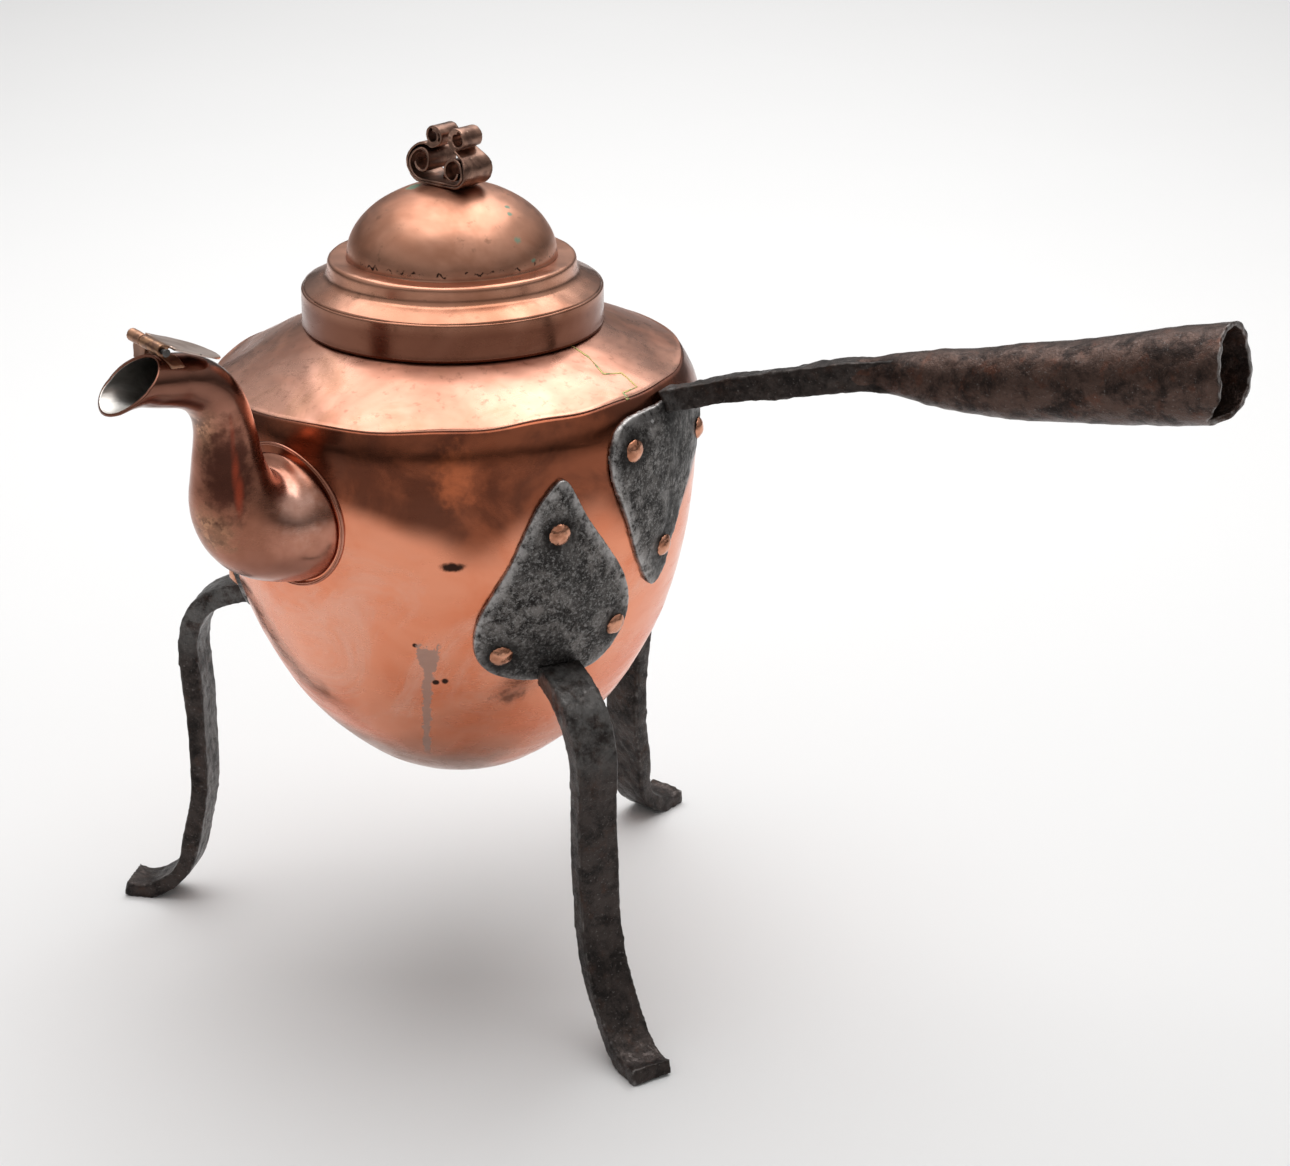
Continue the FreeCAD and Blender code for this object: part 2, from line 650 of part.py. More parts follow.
def make_arm(socket_outside, plated_bowl):
    """Handle arm between its plate and the socket."""
    bar = swept_bar(ARM_LINE, ARM_ROOT_HEIGHT, ARM_END_HEIGHT, ARM_WIDTH)
    return bar.cut([plated_bowl, socket_outside])


def make_socket():
    """Rolled iron socket, open at its far end for a wooden grip."""
    outside = tube_solid(SOCKET_STATIONS, 0.0)
    out, height, climb, radius = SOCKET_STATIONS[-1][:4]
    rise = PAST_MOUTH * math.tan(math.radians(climb))
    overshoot = (out + PAST_MOUTH, height + rise, climb, radius, radius)
    hollow = tube_solid(SOCKET_STATIONS + [overshoot], SOCKET_WALL)
    solid_root = Part.makeBox(BIG, BIG, BIG, Vector(SOCKET_FLOOR - BIG, -BIG / 2, 0))
    return outside, outside.cut(hollow.cut(solid_root))


# ---------------------------------------------------------------- assembly
def main():
    os.makedirs("parts", exist_ok=True)
    pot_outside = bowl_solid(0.0)
    plated_bowl = bowl_solid(PLATE)
    skin = plated_bowl.cut(pot_outside)

    handle_shanks = rivet_shanks(HANDLE_RIVETS, HANDLE_PLATE_AZIMUTH)
    handle_plate = make_plate(HANDLE_PLATE_OUTLINE, HANDLE_PLATE_AZIMUTH, skin).cut(handle_shanks)
    rivet_holes = list(handle_shanks)
    leg_plates = {}
    for name, (plate_azimuth, bar_azimuth, shank, toe, lean) in LEGS.items():
        shanks = rivet_shanks(LEG_RIVETS, plate_azimuth)
        rivet_holes += shanks
        leg_plates[name] = make_plate(LEG_PLATE_OUTLINE, plate_azimuth, skin).cut(shanks)
        save(leg_plates[name], name + "_leg_plate")
        save(make_leg_bar(bar_azimuth, shank, toe, lean, plated_bowl), name + "_leg_bar")
    bottom, side, strainer = make_bowl(pot_outside, rivet_holes)
    save(bottom, "pot_bottom")
    save(side, "pot_side")
    save(strainer, "spout_strainer")
    save(make_shoulder(pot_outside), "pot_shoulder")
    save(ring(COLLAR_RADIUS - COLLAR_WALL, COLLAR_RADIUS, NECK_Z, COLLAR_TOP), "neck_collar")
    save(handle_plate, "handle_plate")
    save(make_rivets(HANDLE_RIVETS, HANDLE_PLATE_AZIMUTH, handle_plate, side), "handle_rivets")
    for name, leg in LEGS.items():
        save(make_rivets(LEG_RIVETS, leg[0], leg_plates[name], side), name + "_leg_rivets")

    socket_outside, socket = make_socket()
    save(make_arm(socket_outside, plated_bowl), "handle_arm")
    save(socket, "handle_socket")

    save(ring(BAND_RADIUS - LID_WALL, BAND_RADIUS, BAND_FOOT, BAND_TOP), "lid_band")
    save(make_lid_step(), "lid_step")
    rivet_hole = knob_rivet_hole()
    dome = dome_solid(0.0).cut([dome_solid(LID_WALL), rivet_hole])
    save(dome, "lid_dome")
    outer_strip, inner_strip = make_knob()
    save(outer_strip.cut(rivet_hole), "knob_outer_scroll")
    save(inner_strip.cut(rivet_hole), "knob_inner_scroll")
    save(make_knob_rivet(dome), "knob_rivet")

    spout_outside = spout_solid(0.0)
    local_pot = spun(pot_outside, -SPOUT_AZIMUTH)
    spout_base, spout_neck = make_spout(spout_outside, local_pot)
    save(spun(spout_base, SPOUT_AZIMUTH), "spout_base")
    save(spun(spout_neck, SPOUT_AZIMUTH), "spout_neck")
    save(spun(make_seat_ring(spout_outside, local_pot), SPOUT_AZIMUTH), "spout_seat_ring")
    save(spun(make_hinge_leaf(spout_outside), SPOUT_AZIMUTH), "flap_hinge_leaf")
    save(spun(make_flap(), SPOUT_AZIMUTH), "spout_flap")
    save(spun(make_flap_pin(), SPOUT_AZIMUTH), "flap_pin")


main()
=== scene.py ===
"""Looks of the copper coffee kettle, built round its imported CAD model. Metres, in the model's own frame."""
import json
import math

import bpy
import numpy as np
from mathutils import Matrix, Vector
from mathutils.kdtree import KDTree


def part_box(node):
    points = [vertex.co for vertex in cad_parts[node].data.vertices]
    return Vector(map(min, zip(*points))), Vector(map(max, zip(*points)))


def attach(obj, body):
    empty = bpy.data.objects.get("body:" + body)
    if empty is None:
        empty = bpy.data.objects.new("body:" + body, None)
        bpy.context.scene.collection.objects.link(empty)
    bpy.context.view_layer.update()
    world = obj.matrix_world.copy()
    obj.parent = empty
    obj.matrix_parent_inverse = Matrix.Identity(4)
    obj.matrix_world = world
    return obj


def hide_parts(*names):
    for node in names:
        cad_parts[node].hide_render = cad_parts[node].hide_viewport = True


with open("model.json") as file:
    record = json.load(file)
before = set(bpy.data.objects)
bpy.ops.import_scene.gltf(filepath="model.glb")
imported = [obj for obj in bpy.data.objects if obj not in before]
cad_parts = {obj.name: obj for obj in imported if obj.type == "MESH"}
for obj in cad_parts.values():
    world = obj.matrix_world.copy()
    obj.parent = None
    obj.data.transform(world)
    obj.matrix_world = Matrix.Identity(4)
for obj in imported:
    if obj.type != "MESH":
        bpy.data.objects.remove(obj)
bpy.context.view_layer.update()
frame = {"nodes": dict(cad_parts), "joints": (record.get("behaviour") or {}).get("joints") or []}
MM = 0.001

# ---- sizes
BELLY_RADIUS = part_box("pot_side")[1].x
BELLY_Z = 245 * MM             # height of the bowl's widest ring
BOTTOM_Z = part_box("pot_bottom")[0].z
RADIUS_POWER = 1.93            # the bowl's profile is a superellipse of these two powers
DEPTH_POWER = 2.32
TURN_IN = 50 * MM              # height over which the side would turn in to the axis
CREASE_Z = 259.6 * MM
CREASE_SLOPE = math.tan(math.radians(2.15))
CREASE_HIGH_SIDE = math.radians(20)
SHEET = 1.5 * MM
THIN_SHEET = 1.2 * MM
COLLAR_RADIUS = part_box("neck_collar")[1].x
NECK_Z, COLLAR_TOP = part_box("neck_collar")[0].z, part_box("neck_collar")[1].z
NECK_RING_RADIUS = COLLAR_RADIUS + 1.3 * MM
BAND_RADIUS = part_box("lid_band")[1].x
BAND_FOOT, BAND_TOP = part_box("lid_band")[0].z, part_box("lid_band")[1].z
STEP_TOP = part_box("lid_step")[1].z
STEP_RADIUS = 50.7 * MM
STEP_FOOT = STEP_TOP - 7 * MM
LEDGE_INNER = 40.6 * MM
DOME_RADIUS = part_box("lid_dome")[1].x
DOME_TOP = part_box("lid_dome")[1].z
FLAP_HINGE = next(joint for joint in frame["joints"] if joint["name"] == "flap_hinge")
SPOUT_AZIMUTH = math.radians(-101)
SPOUT_ROOT_Z = 219.5 * MM
SEAT_RING_RADIUS = 29.6 * MM
STRAINER_HOLE = 2.5 * MM
STRAINER_RINGS = ((0.0, 1), (8 * MM, 6), (16 * MM, 12))    # radius of each ring and its number of holes
FLAP_CLOSED_ANGLE = math.radians(-38)
SEAT_DROP = 2.65 * MM          # from the hinge line to the mouth's plane
LIP_DEPTH = 11.0 * MM          # length of the spout's turned-out lip
LIP_FLARE = 2.4 * MM
MOUTH_CLEAR = 0.70 * MM        # the spout's edge stays this far under the shut flap's seat
# stations in millimetres: distance out, height, climb in degrees, half-height, half-width
SPOUT_STATIONS = [
    (88, 219, 2, 28.6, 28.2), (104, 220, 10, 25.5, 25.5), (117, 225, 40, 21.8, 21),
    (124.3, 235.5, 72, 17.6, 17), (126, 250, 90, 13.6, 14), (126.8, 262, 88, 11.5, 12.4),
    (130, 272.5, 66, 10.9, 11.8), (136.6, 280.3, 36, 10.7, 11.3), (146, 285.4, 16, 10.6, 11.2),
    (160, 288.4, 8, 10, 11.6), (172, 290.3, 8, 8.4, 11), (182, 292, 8, 8, 9.6),
    (192, 293.6, 8, 8, 9),
]
SOCKET_STATIONS = [
    (180, 280, 12, 5.4, 4.4), (189, 281.8, 8, 6.6, 5.2), (197, 282.7, 5, 8.2, 7.8),
    (203, 283.2, 4, 9.2, 9.6), (218, 284.4, 6, 11.4, 11.4), (238, 286.6, 8, 13.2, 13.3),
    (276, 293, 10, 15.8, 15.9), (312, 300.4, 11, 18, 18.1), (327, 303.8, 11, 18.7, 18.8),
]
SOCKET_WALL = 2.2 * MM
SOCKET_FLOOR = 222 * MM
SOCKET_SEAM = math.radians(318)    # where the rolled sheet overlaps, round the socket
SOCKET_LAP = 0.9 * MM
RUBBED_RIM = 5 * MM            # how far in from its outline a plate is scoured
RIVET_HOLE_ZONE = 4.6 * MM
RIVET_SHADE_REACH = 10.5 * MM         # painted shade round a rivet starts this far from it and is full the fade distance below nearer
RIVET_SHADE_FADE = 4.5 * MM
PLATE_AZIMUTHS = {"handle": 0.0, "front": -34.0, "back": 77.5, "left": -161.0}
# rivets of a plate: distance across it and height, in millimetres
HANDLE_RIVETS = [(-26, 244), (26, 238), (-3, 197.5)]
LEG_RIVETS = [(-1.5, 217), (-21.5, 166), (28, 170)]
# hand-worked unevenness in millimetres: mesh size, then depth and spread of the dents and of the grain
PLATE_WORK = (0.6, 0.1, 16, 0.035, 4)
HANDLE_PLATE_WORK = (0.6, 0.16, 14, 0.05, 4)
BAR_WORK = (0.9, 0.24, 45, 0.07, 5)
ARM_WORK = (0.7, 0.3, 22, 0.1, 5)
RIVET_WORK = (0.3, 0.06, 4, 0.015, 1.5)
KNOB_RIVET_WORK = (0.3, 0.05, 4, 0, 2)
SCROLL_WORK = (0.33, 0.05, 8, 0, 4)
LEAF_WORK = (0.28, 0.04, 6, 0, 3)
PIN_WORK = (0.2, 0, 4, 0, 2)
FLAP_WORK = (0.28, 0.05, 10, 0, 3)
# studio
FLOOR_REACH = 24.0             # from the middle of the floor to each side
LENS, SENSOR = 78.13, 36.0
CAMERA_PLACE = (0.5930, -0.9308, 0.6011)
CAMERA_FORWARD = (-0.4419, 0.8166, -0.3715)
CAMERA_ROLL = math.radians(0.213)


# ---- mesh helpers
def ripple(points, scale, seed):
    """Return smooth random values round zero, one per point, that vary over about the given distance."""
    waves = 14
    slowest, fastest = 0.6, 1.5
    draw = np.random.default_rng(seed)
    total = np.zeros(points.shape[:-1])
    for _ in range(waves):
        direction = draw.normal(size=3)
        direction *= 2 * math.pi * draw.uniform(slowest, fastest) / (scale * np.linalg.norm(direction))
        total += np.sin(points @ direction + draw.uniform(0, 2 * math.pi))
    return total / math.sqrt(waves / 2)


def add_object(name, data):
    """Put an object with the given data in the scene."""
    made = bpy.data.objects.new(name, data)
    bpy.context.scene.collection.objects.link(made)
    return made


def apply_modifiers(piece):
    """Turn a piece's modified shape into its mesh."""
    graph = bpy.context.evaluated_depsgraph_get()
    mesh = bpy.data.meshes.new_from_object(piece.evaluated_get(graph))
    piece.modifiers.clear()
    piece.data = mesh


def add_piece(name, points, faces, material, body, nodes):
    """Make a smooth mesh object that rides on a body and stands for CAD nodes."""
    mesh = bpy.data.meshes.new(name)
    mesh.from_pydata([tuple(point) for point in points], [], faces)
    mesh.validate()
    mesh.shade_smooth()
    piece = add_object(name, mesh)
    finish_piece(piece, material, body, nodes)
    return piece


def finish_piece(piece, material, body, nodes):
    """Give a piece its materials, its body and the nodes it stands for."""
    for each in material if isinstance(material, tuple) else (material,):
        piece.data.materials.append(each)
    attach(piece, body)
    if nodes:
        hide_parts(*nodes)


def round_angles(columns):
    """Return the angles of points spread evenly round a circle."""
    return np.arange(columns) * 2 * math.pi / columns


def ring_points(radius, angles, height):
    """Return rows of points from their radii, angles and heights."""
    return np.stack([radius * np.cos(angles), radius * np.sin(angles), height], axis=-1)


def grid_normals(grid):
    """Return unit normals of a grid of rows, closed along its columns."""
    along = np.gradient(grid, axis=0)
    around = np.roll(grid, -1, axis=1) - np.roll(grid, 1, axis=1)
    cross = np.cross(around, along)
    length = np.linalg.norm(cross, axis=2, keepdims=True)
    return cross / np.maximum(length, 1e-12)


def quads(rows, columns, closed_rows=False):
    """Return the faces of a grid that is closed along its columns."""
    faces = []
    for row in range(rows if closed_rows else rows - 1):
        below = row * columns
        above = (row + 1) % rows * columns
        for column in range(columns):
            beside = (column + 1) % columns
            faces.append((below + column, below + beside, above + beside, above + column))
    return faces


def capped_skin(outer, inner):
    """Return points and faces that run along one grid and back along another, closed at the first rows."""
    ring = np.concatenate([outer, inner[::-1]])
    rows, columns = ring.shape[:2]
    points = np.concatenate([ring.reshape(-1, 3), [outer[0].mean(0), inner[0].mean(0)]])
    faces = quads(rows, columns)
    outer_middle, inner_middle = len(points) - 2, len(points) - 1
    last = (rows - 1) * columns
    for column in range(columns):
        beside = (column + 1) % columns
        faces.append((outer_middle, beside, column))
        faces.append((inner_middle, last + column, last + beside))
    return points, faces


def shell(name, grid, thickness, skin, body, nodes, capped=False):
    """Thicken a grid of outer points to a sheet tinned inside; capped closes the first row's middle."""
    rows, columns = grid.shape[:2]
    inner = grid - grid_normals(grid) * thickness
    if capped:
        inner[0] = grid[0] + np.array([0, 0, thickness])
        points, faces = capped_skin(grid, inner)
    else:
        points = np.concatenate([grid, inner[::-1]]).reshape(-1, 3)
        faces = quads(2 * rows, columns, closed_rows=True)
    piece = add_piece(name, points, faces, (skin, TINNED), body, nodes)
    first_inner = rows * columns
    inside = [min(face.vertices[0], face.vertices[2]) >= first_inner for face in piece.data.polygons]
    piece.data.polygons.foreach_set("material_index", np.array(inside, np.int32))
    return piece


def rounded(outline, radius, steps=5):
    """Round the inner corners of an open outline of (radius, height) pairs."""
    outline = [np.array(point, float) for point in outline]
    result = [outline[0]]
    for before, corner, after in zip(outline, outline[1:], outline[2:]):
        back = (before - corner) / np.linalg.norm(before - corner)
        ahead = (after - corner) / np.linalg.norm(after - corner)
        most = min(np.linalg.norm(before - corner), np.linalg.norm(after - corner)) / 2.2
        reach = min(radius, most)
        for step in range(steps + 1):
            t = step / steps
            result.append(corner + back * reach * (1 - t) ** 2 + ahead * reach * t ** 2)
    return result + [outline[-1]]


def spaced(outline, gap):
    """Add points along an outline so that none are further apart than the gap."""
    result = [np.array(outline[0], float)]
    for start, end in zip(outline, outline[1:]):
        start, end = np.array(start, float), np.array(end, float)
        count = max(1, math.ceil(np.linalg.norm(end - start) / gap))
        for step in range(1, count + 1):
            result.append(start + (end - start) * step / count)
    return np.array(result)


def turned_grid(outline, columns):
    """Turn an outline of (radius, height) pairs about the pot's axis."""
    angles = round_angles(columns)
    radius, height = outline[:, 0][:, None], outline[:, 1][:, None]
    return ring_points(radius, angles, height + 0 * angles)


def worked(grid, dent, hammer, seed):
    """Push a grid in and out: broad dents and small planishing marks, as depths in metres."""
    push = dent * ripple(grid, 0.060, seed) + hammer * ripple(grid, 0.012, seed + 1)
    return grid + grid_normals(grid) * push[..., None]


def forged(name, node, body, material, work, seed):
    """Copy a CAD node's mesh, remesh it evenly, soften its edges and give it hand-worked unevenness."""
    voxel, dent, dent_spread, grain, grain_spread = [value * MM for value in work]
    source = frame["nodes"][node]
    piece = add_object(name, source.data.copy())
    piece.data.materials.clear()
    remesh = piece.modifiers.new("even", "REMESH")
    remesh.mode = "VOXEL"
    remesh.voxel_size = voxel
    soften = piece.modifiers.new("soften", "SMOOTH")
    soften.factor = 0.5
    soften.iterations = 4
    apply_modifiers(piece)
    mesh = piece.data
    count = len(mesh.vertices)
    points = np.empty(count * 3)
    normals = np.empty(count * 3)
    mesh.vertices.foreach_get("co", points)
    mesh.vertices.foreach_get("normal", normals)
    points, normals = points.reshape(-1, 3), normals.reshape(-1, 3)
    push = dent * ripple(points, dent_spread, seed) + grain * ripple(points, grain_spread, seed + 1)
    mesh.vertices.foreach_set("co", (points + normals * push[:, None]).ravel())
    mesh.update()
    mesh.shade_smooth()
    finish_piece(piece, material, body, [node])
    return piece


def rivet_places(plate):
    """Return the points on the bowl under a plate's rivets."""
    places = []
    for across, height in HANDLE_RIVETS if plate == "handle" else LEG_RIVETS:
        radius = float(bowl_radius(height * MM))
        angle = math.radians(PLATE_AZIMUTHS[plate]) + math.asin(across * MM / radius)
        places.append(Vector((radius * math.cos(angle), radius * math.sin(angle), height * MM)))
    return places


def mark_plate(piece, plate):
    """Store on a plate's points how near they are to its outline (rim) and to a rivet (painted shade round
    it), 1 to 0.
    """
    mesh = piece.data
    middle = Vector((0, 0, BELLY_Z))
    rivets = rivet_places(plate)
    from_rivet = [min((vertex.co - place).length for place in rivets) for vertex in mesh.vertices]
    edge_points = []
    sideways = 0.55    # an edge's normals are closer to square with the outward direction than this
    for vertex, distance in zip(mesh.vertices, from_rivet):
        outward = (vertex.co - middle).normalized()
        if distance > RIVET_HOLE_ZONE and abs(vertex.normal.dot(outward)) < sideways:
            edge_points.append(vertex.co)
    tree = KDTree(len(edge_points))
    for index, point in enumerate(edge_points):
        tree.insert(point, index)
    tree.balance()
    rim = [max(0.0, 1 - tree.find(vertex.co)[2] / RUBBED_RIM) for vertex in mesh.vertices]
    painted_rivet_shade = [min(1.0, max(0.0, (RIVET_SHADE_REACH - distance) / RIVET_SHADE_FADE)) for distance in from_rivet]
    for name, values in (("rim", rim), ("painted_rivet_shade", painted_rivet_shade)):
        mesh.attributes.new(name, "FLOAT", "POINT").data.foreach_set("value", values)


# ---- material helpers
class Maker:
    """Builds one procedural material round a Principled shader, in object coordinates."""

    def __init__(self, name, metallic, roughness):
        self.material = bpy.data.materials.new(name)
        self.material.use_nodes = True
        self.tree = self.material.node_tree
        self.shader = self.tree.nodes["Principled BSDF"]
        self.shader.inputs["Metallic"].default_value = metallic
        self.shader.inputs["Roughness"].default_value = roughness
        self.place = self.add("TexCoord").outputs["Object"]
        parts = self.add("SeparateXYZ", {"Vector": self.place}).outputs
        self.x, self.y, self.z = parts["X"], parts["Y"], parts["Z"]

    def put(self, socket, value):
        """Link a socket or set a plain value."""
        if isinstance(value, bpy.types.NodeSocket):
            self.tree.links.new(value, socket)
        elif socket.type == "RGBA" and len(value) == 3:
            socket.default_value = (*value, 1)
        else:
            socket.default_value = value

    def add(self, kind, inputs=None, **settings):
        """Add a shader node with settings and inputs by name or index."""
        node = self.tree.nodes.new("ShaderNode" + kind)
        for key, value in settings.items():
            setattr(node, key, value)
        for key, value in (inputs or {}).items():
            self.put(node.inputs[key], value)
        return node

    def stretched(self, scale):
        """Return the place scaled along X, Y and Z."""
        return self.add("Mapping", {"Vector": self.place, "Scale": scale}).outputs["Vector"]

    def noise(self, scale, detail=3.0, rough=0.55, twist=0.0, place=None, offset=0.0):
        """Return a noise value of 0 to 1."""
        place = place or self.place
        if offset:
            place = self.vector("ADD", place, (offset, offset, 0))
        inputs = {"Vector": place, "Scale": scale, "Detail": detail, "Roughness": rough, "Distortion": twist}
        return self.add("TexNoise", inputs).outputs["Fac"]

    def cells(self, scale):
        """Return the soft distance field of random cells."""
        node = self.add("TexVoronoi", {"Vector": self.place, "Scale": scale}, feature="SMOOTH_F1")
        return node.outputs["Distance"]

    def math(self, operation, a, b=0.0):
        """Combine two values, or take one value's function."""
        return self.add("Math", {0: a, 1: b}, operation=operation).outputs[0]

    def plus(self, a, b):
        """Return the sum of two values."""
        return self.math("ADD", a, b)

    def minus(self, a, b):
        """Return the first value less the second."""
        return self.math("SUBTRACT", a, b)

    def times(self, a, b):
        """Return the product of two values."""
        return self.math("MULTIPLY", a, b)

    def pointed(self, low, high):
        """Return 0 to 1 as the mesh's own pointiness goes from low to high."""
        return self.between(self.add("NewGeometry").outputs["Pointiness"], low, high)

    def stored(self, name):
        """Return a value that is stored on the mesh's points."""
        return self.add("Attribute", attribute_name=name).outputs["Fac"]

    def vector(self, operation, a, b):
        """Combine two vectors."""
        return self.add("VectorMath", {0: a, 1: b}, operation=operation).outputs[0]

    def length(self, vector):
        """Return a vector's length."""
        return self.add("VectorMath", {0: vector}, operation="LENGTH").outputs["Value"]

    def between(self, value, low, high, to_low=0.0, to_high=1.0):
        """Map a value smoothly from one range to another."""
        inputs = {"Value": value, "From Min": low, "From Max": high, "To Min": to_low, "To Max": to_high}
        node = self.add("MapRange", inputs, interpolation_type="SMOOTHSTEP")
        return node.outputs["Result"]

    def mix(self, a, b, share):
        """Mix two colours."""
        node = self.add("Mix", {0: share, 6: a, 7: b}, data_type="RGBA")
        return node.outputs[2]

    def tint(self, colour, tone, mask, share):
        """Lay a tone over a colour where a mask is 1, as strongly as the share."""
        return self.mix(colour, tone, self.times(mask, share))

    def blot(self, centre, size, ragged=0.35, soft=0.5):
        """Return 1 inside a ragged blot and 0 outside; size is its half-extent along X, Y and Z."""
        away = self.vector("SUBTRACT", self.place, centre)
        scaled = self.vector("MULTIPLY", away, tuple(1 / each for each in size))
        edge = self.between(self.noise(260.0, 4.0), 0.0, 1.0, -ragged, ragged)
        return self.between(self.plus(self.length(scaled), edge), 1.0 - soft, 1.0, 1.0, 0.0)

    def mark(self, azimuth, radius, height, wide, tall, ragged=0.3, soft=0.5):
        """Return 1 inside a ragged mark placed by azimuth; half its width and height are in millimetres."""
        return self.blot(at(azimuth, radius, height), (wide * MM, wide * MM, tall * MM), ragged, soft)

    def either(self, *masks):
        """Return the largest of several masks."""
        largest = masks[0]
        for mask in masks[1:]:
            largest = self.math("MAXIMUM", largest, mask)
        return largest

    def relief(self, *layers):
        """Drive the normal from bumps given as (height socket, strength, distance)."""
        normal = None
        for height, strength, distance in layers:
            node = self.add("Bump", {"Strength": strength, "Distance": distance, "Height": height})
            if normal is not None:
                self.put(node.inputs["Normal"], normal)
            normal = node.outputs["Normal"]
        self.put(self.shader.inputs["Normal"], normal)

    def done(self, colour, roughness=None):
        """Connect the results and return the material."""
        self.put(self.shader.inputs["Base Color"], colour)
        if roughness is not None:
            self.put(self.shader.inputs["Roughness"], roughness)
        return self.material


def at(azimuth, radius, height):
    """Return the point at an azimuth in degrees, a radius and a height, both in millimetres."""
    angle = math.radians(azimuth)
    return (radius * MM * math.cos(angle), radius * MM * math.sin(angle), height * MM)


# ---- materials
def copper_skin(make, bright, deep):
    """Return the colour and roughness that all the polished copper shares."""
    patches = make.between(make.noise(18, 4, 0.6, 0.6), 0.35, 0.68)
    colour = make.mix(bright, deep, patches)
    haze = make.between(make.noise(34, 5, 0.65, 0.4, offset=0.7), 0.48, 0.75, 0, 0.3)
    colour = make.mix(colour, (0.7, 0.33, 0.225), haze)
    wipes = make.noise(5, 6, 0.7, 0.2, place=make.stretched((9, 9, 40)))
    scuffs = make.between(wipes, 0.35, 0.75, 0.17, 0.3)
    roughness = make.plus(scuffs, make.between(patches, 0, 1, 0, 0.06))
    return colour, roughness


def copper_relief(make, strength):
    """Planishing marks and fine scratches."""
    make.relief((make.cells(95), 0.1 * strength, 0.001), (make.noise(60, 3), 0.14 * strength, 0.001))


def drip_mask(make):
    """Return 1 inside the grey drip that runs down the bowl's front and bends clockwise as it falls."""
    drop, azimuth, wall_radius = 0.171, math.radians(-65.6), 84 * MM
    fallen = make.times(make.minus(drop, make.z), 16.4)
    bend = make.times(make.math("POWER", fallen, 1.6), math.radians(5.9))
    angle = make.math("ARCTAN2", make.y, make.x)
    away = make.times(make.math("ABSOLUTE", make.minus(angle, make.minus(azimuth, bend))), wall_radius)
    ragged = make.between(make.noise(190, 4, 0.7), 0.25, 0.75, -0.0013, 0.0013)
    width = make.plus(make.between(make.z, 0.152, 0.168, 0.0019, 0.0042), ragged)
    inside = make.between(make.minus(away, width), 0.0004, -0.0004)
    uneven = make.between(make.noise(150, 4, 0.7, offset=0.3), 0.25, 0.75, -0.004, 0.004)
    top = make.between(make.plus(make.z, uneven), 0.1705, 0.1685)
    return make.times(inside, make.times(top, make.between(make.z, 0.106, 0.112)))


def bowl_copper():
    """Orange polished copper with stains and a grey drip; the dark band round the belly is painted reflection
    with a painted orange spot in it, and the bottom has painted shade.
    """
    make = Maker("bowl_copper", 1, 0.3)
    colour, roughness = copper_skin(make, (0.82, 0.315, 0.185), (0.74, 0.215, 0.1))
    wander = make.between(make.noise(12, 2, 0.45, 0.3), 0.2, 0.8, -0.022, 0.022)
    height = make.plus(make.z, wander)
    # painted reflection: above this wandering height the copper is painted dark brown, standing in for the
    # dim room that the belly mirrors
    painted_reflection_band = make.between(height, 0.212, 0.228)
    cloudy = make.between(make.noise(32, 5, 0.6, 0.5), 0.42, 0.66)
    painted_reflection_colour = make.mix((0.085, 0.027, 0.016), (0.24, 0.07, 0.034), cloudy)
    colour = make.mix(colour, painted_reflection_colour, make.times(painted_reflection_band, 0.93))
    # painted reflection: a soft orange spot inside the dark band
    painted_orange_reflection = make.mark(-58, 100, 244, 11, 17, 0.5, 0.95)
    colour = make.tint(colour, (0.62, 0.17, 0.07), painted_orange_reflection, 0.6)
    veil = make.between(make.noise(16, 6, 0.7, 1.2, offset=0.9), 0.46, 0.66)
    veil = make.times(veil, make.between(height, 0.215, 0.19))
    colour = make.tint(colour, (0.78, 0.46, 0.36), veil, 0.45)
    # painted shade: the copper darkens towards the bottom of the bowl
    painted_bottom_shade = make.between(height, 0.116, 0.09)
    colour = make.tint(colour, (0.25, 0.115, 0.068), painted_bottom_shade, 0.85)
    stain = make.mark(-59, 99, 206, 6.5, 2.6)
    twins = make.either(make.mark(-64.4, 85.8, 152.1, 1.8, 1.9), make.mark(-61.9, 86, 152.7, 1.8, 1.9))
    burn = make.mark(-68.9, 91.6, 170.3, 1.2, 1.2)
    smudge = make.mark(-44, 82, 143, 9, 5, 0.7, 0.9)
    marks = make.either(stain, twins, burn, make.times(smudge, 0.7))
    colour = make.mix(colour, (0.045, 0.022, 0.016), marks)
    drip = drip_mask(make)
    colour = make.tint(colour, (0.4, 0.28, 0.235), drip, 0.8)
    dull = make.either(make.times(drip, 0.25), make.times(marks, 0.3))
    copper_relief(make, 1)
    return make.done(colour, make.plus(make.plus(roughness, make.times(veil, 0.08)), dull))


def shoulder_copper():
    """Browner, well worn copper with golden patches."""
    make = Maker("shoulder_copper", 1, 0.3)
    colour, roughness = copper_skin(make, (0.66, 0.345, 0.25), (0.46, 0.205, 0.135))
    brown = make.between(make.noise(26, 5, 0.65, 0.8, offset=0.4), 0.5, 0.72, 0, 0.55)
    colour = make.mix(colour, (0.36, 0.18, 0.1), brown)
    specks = make.between(make.noise(260, 4, 0.65), 0.56, 0.7, 0, 0.45)
    colour = make.mix(colour, (0.24, 0.11, 0.07), specks)
    copper_relief(make, 0.6)
    return make.done(colour, make.plus(roughness, 0.07))


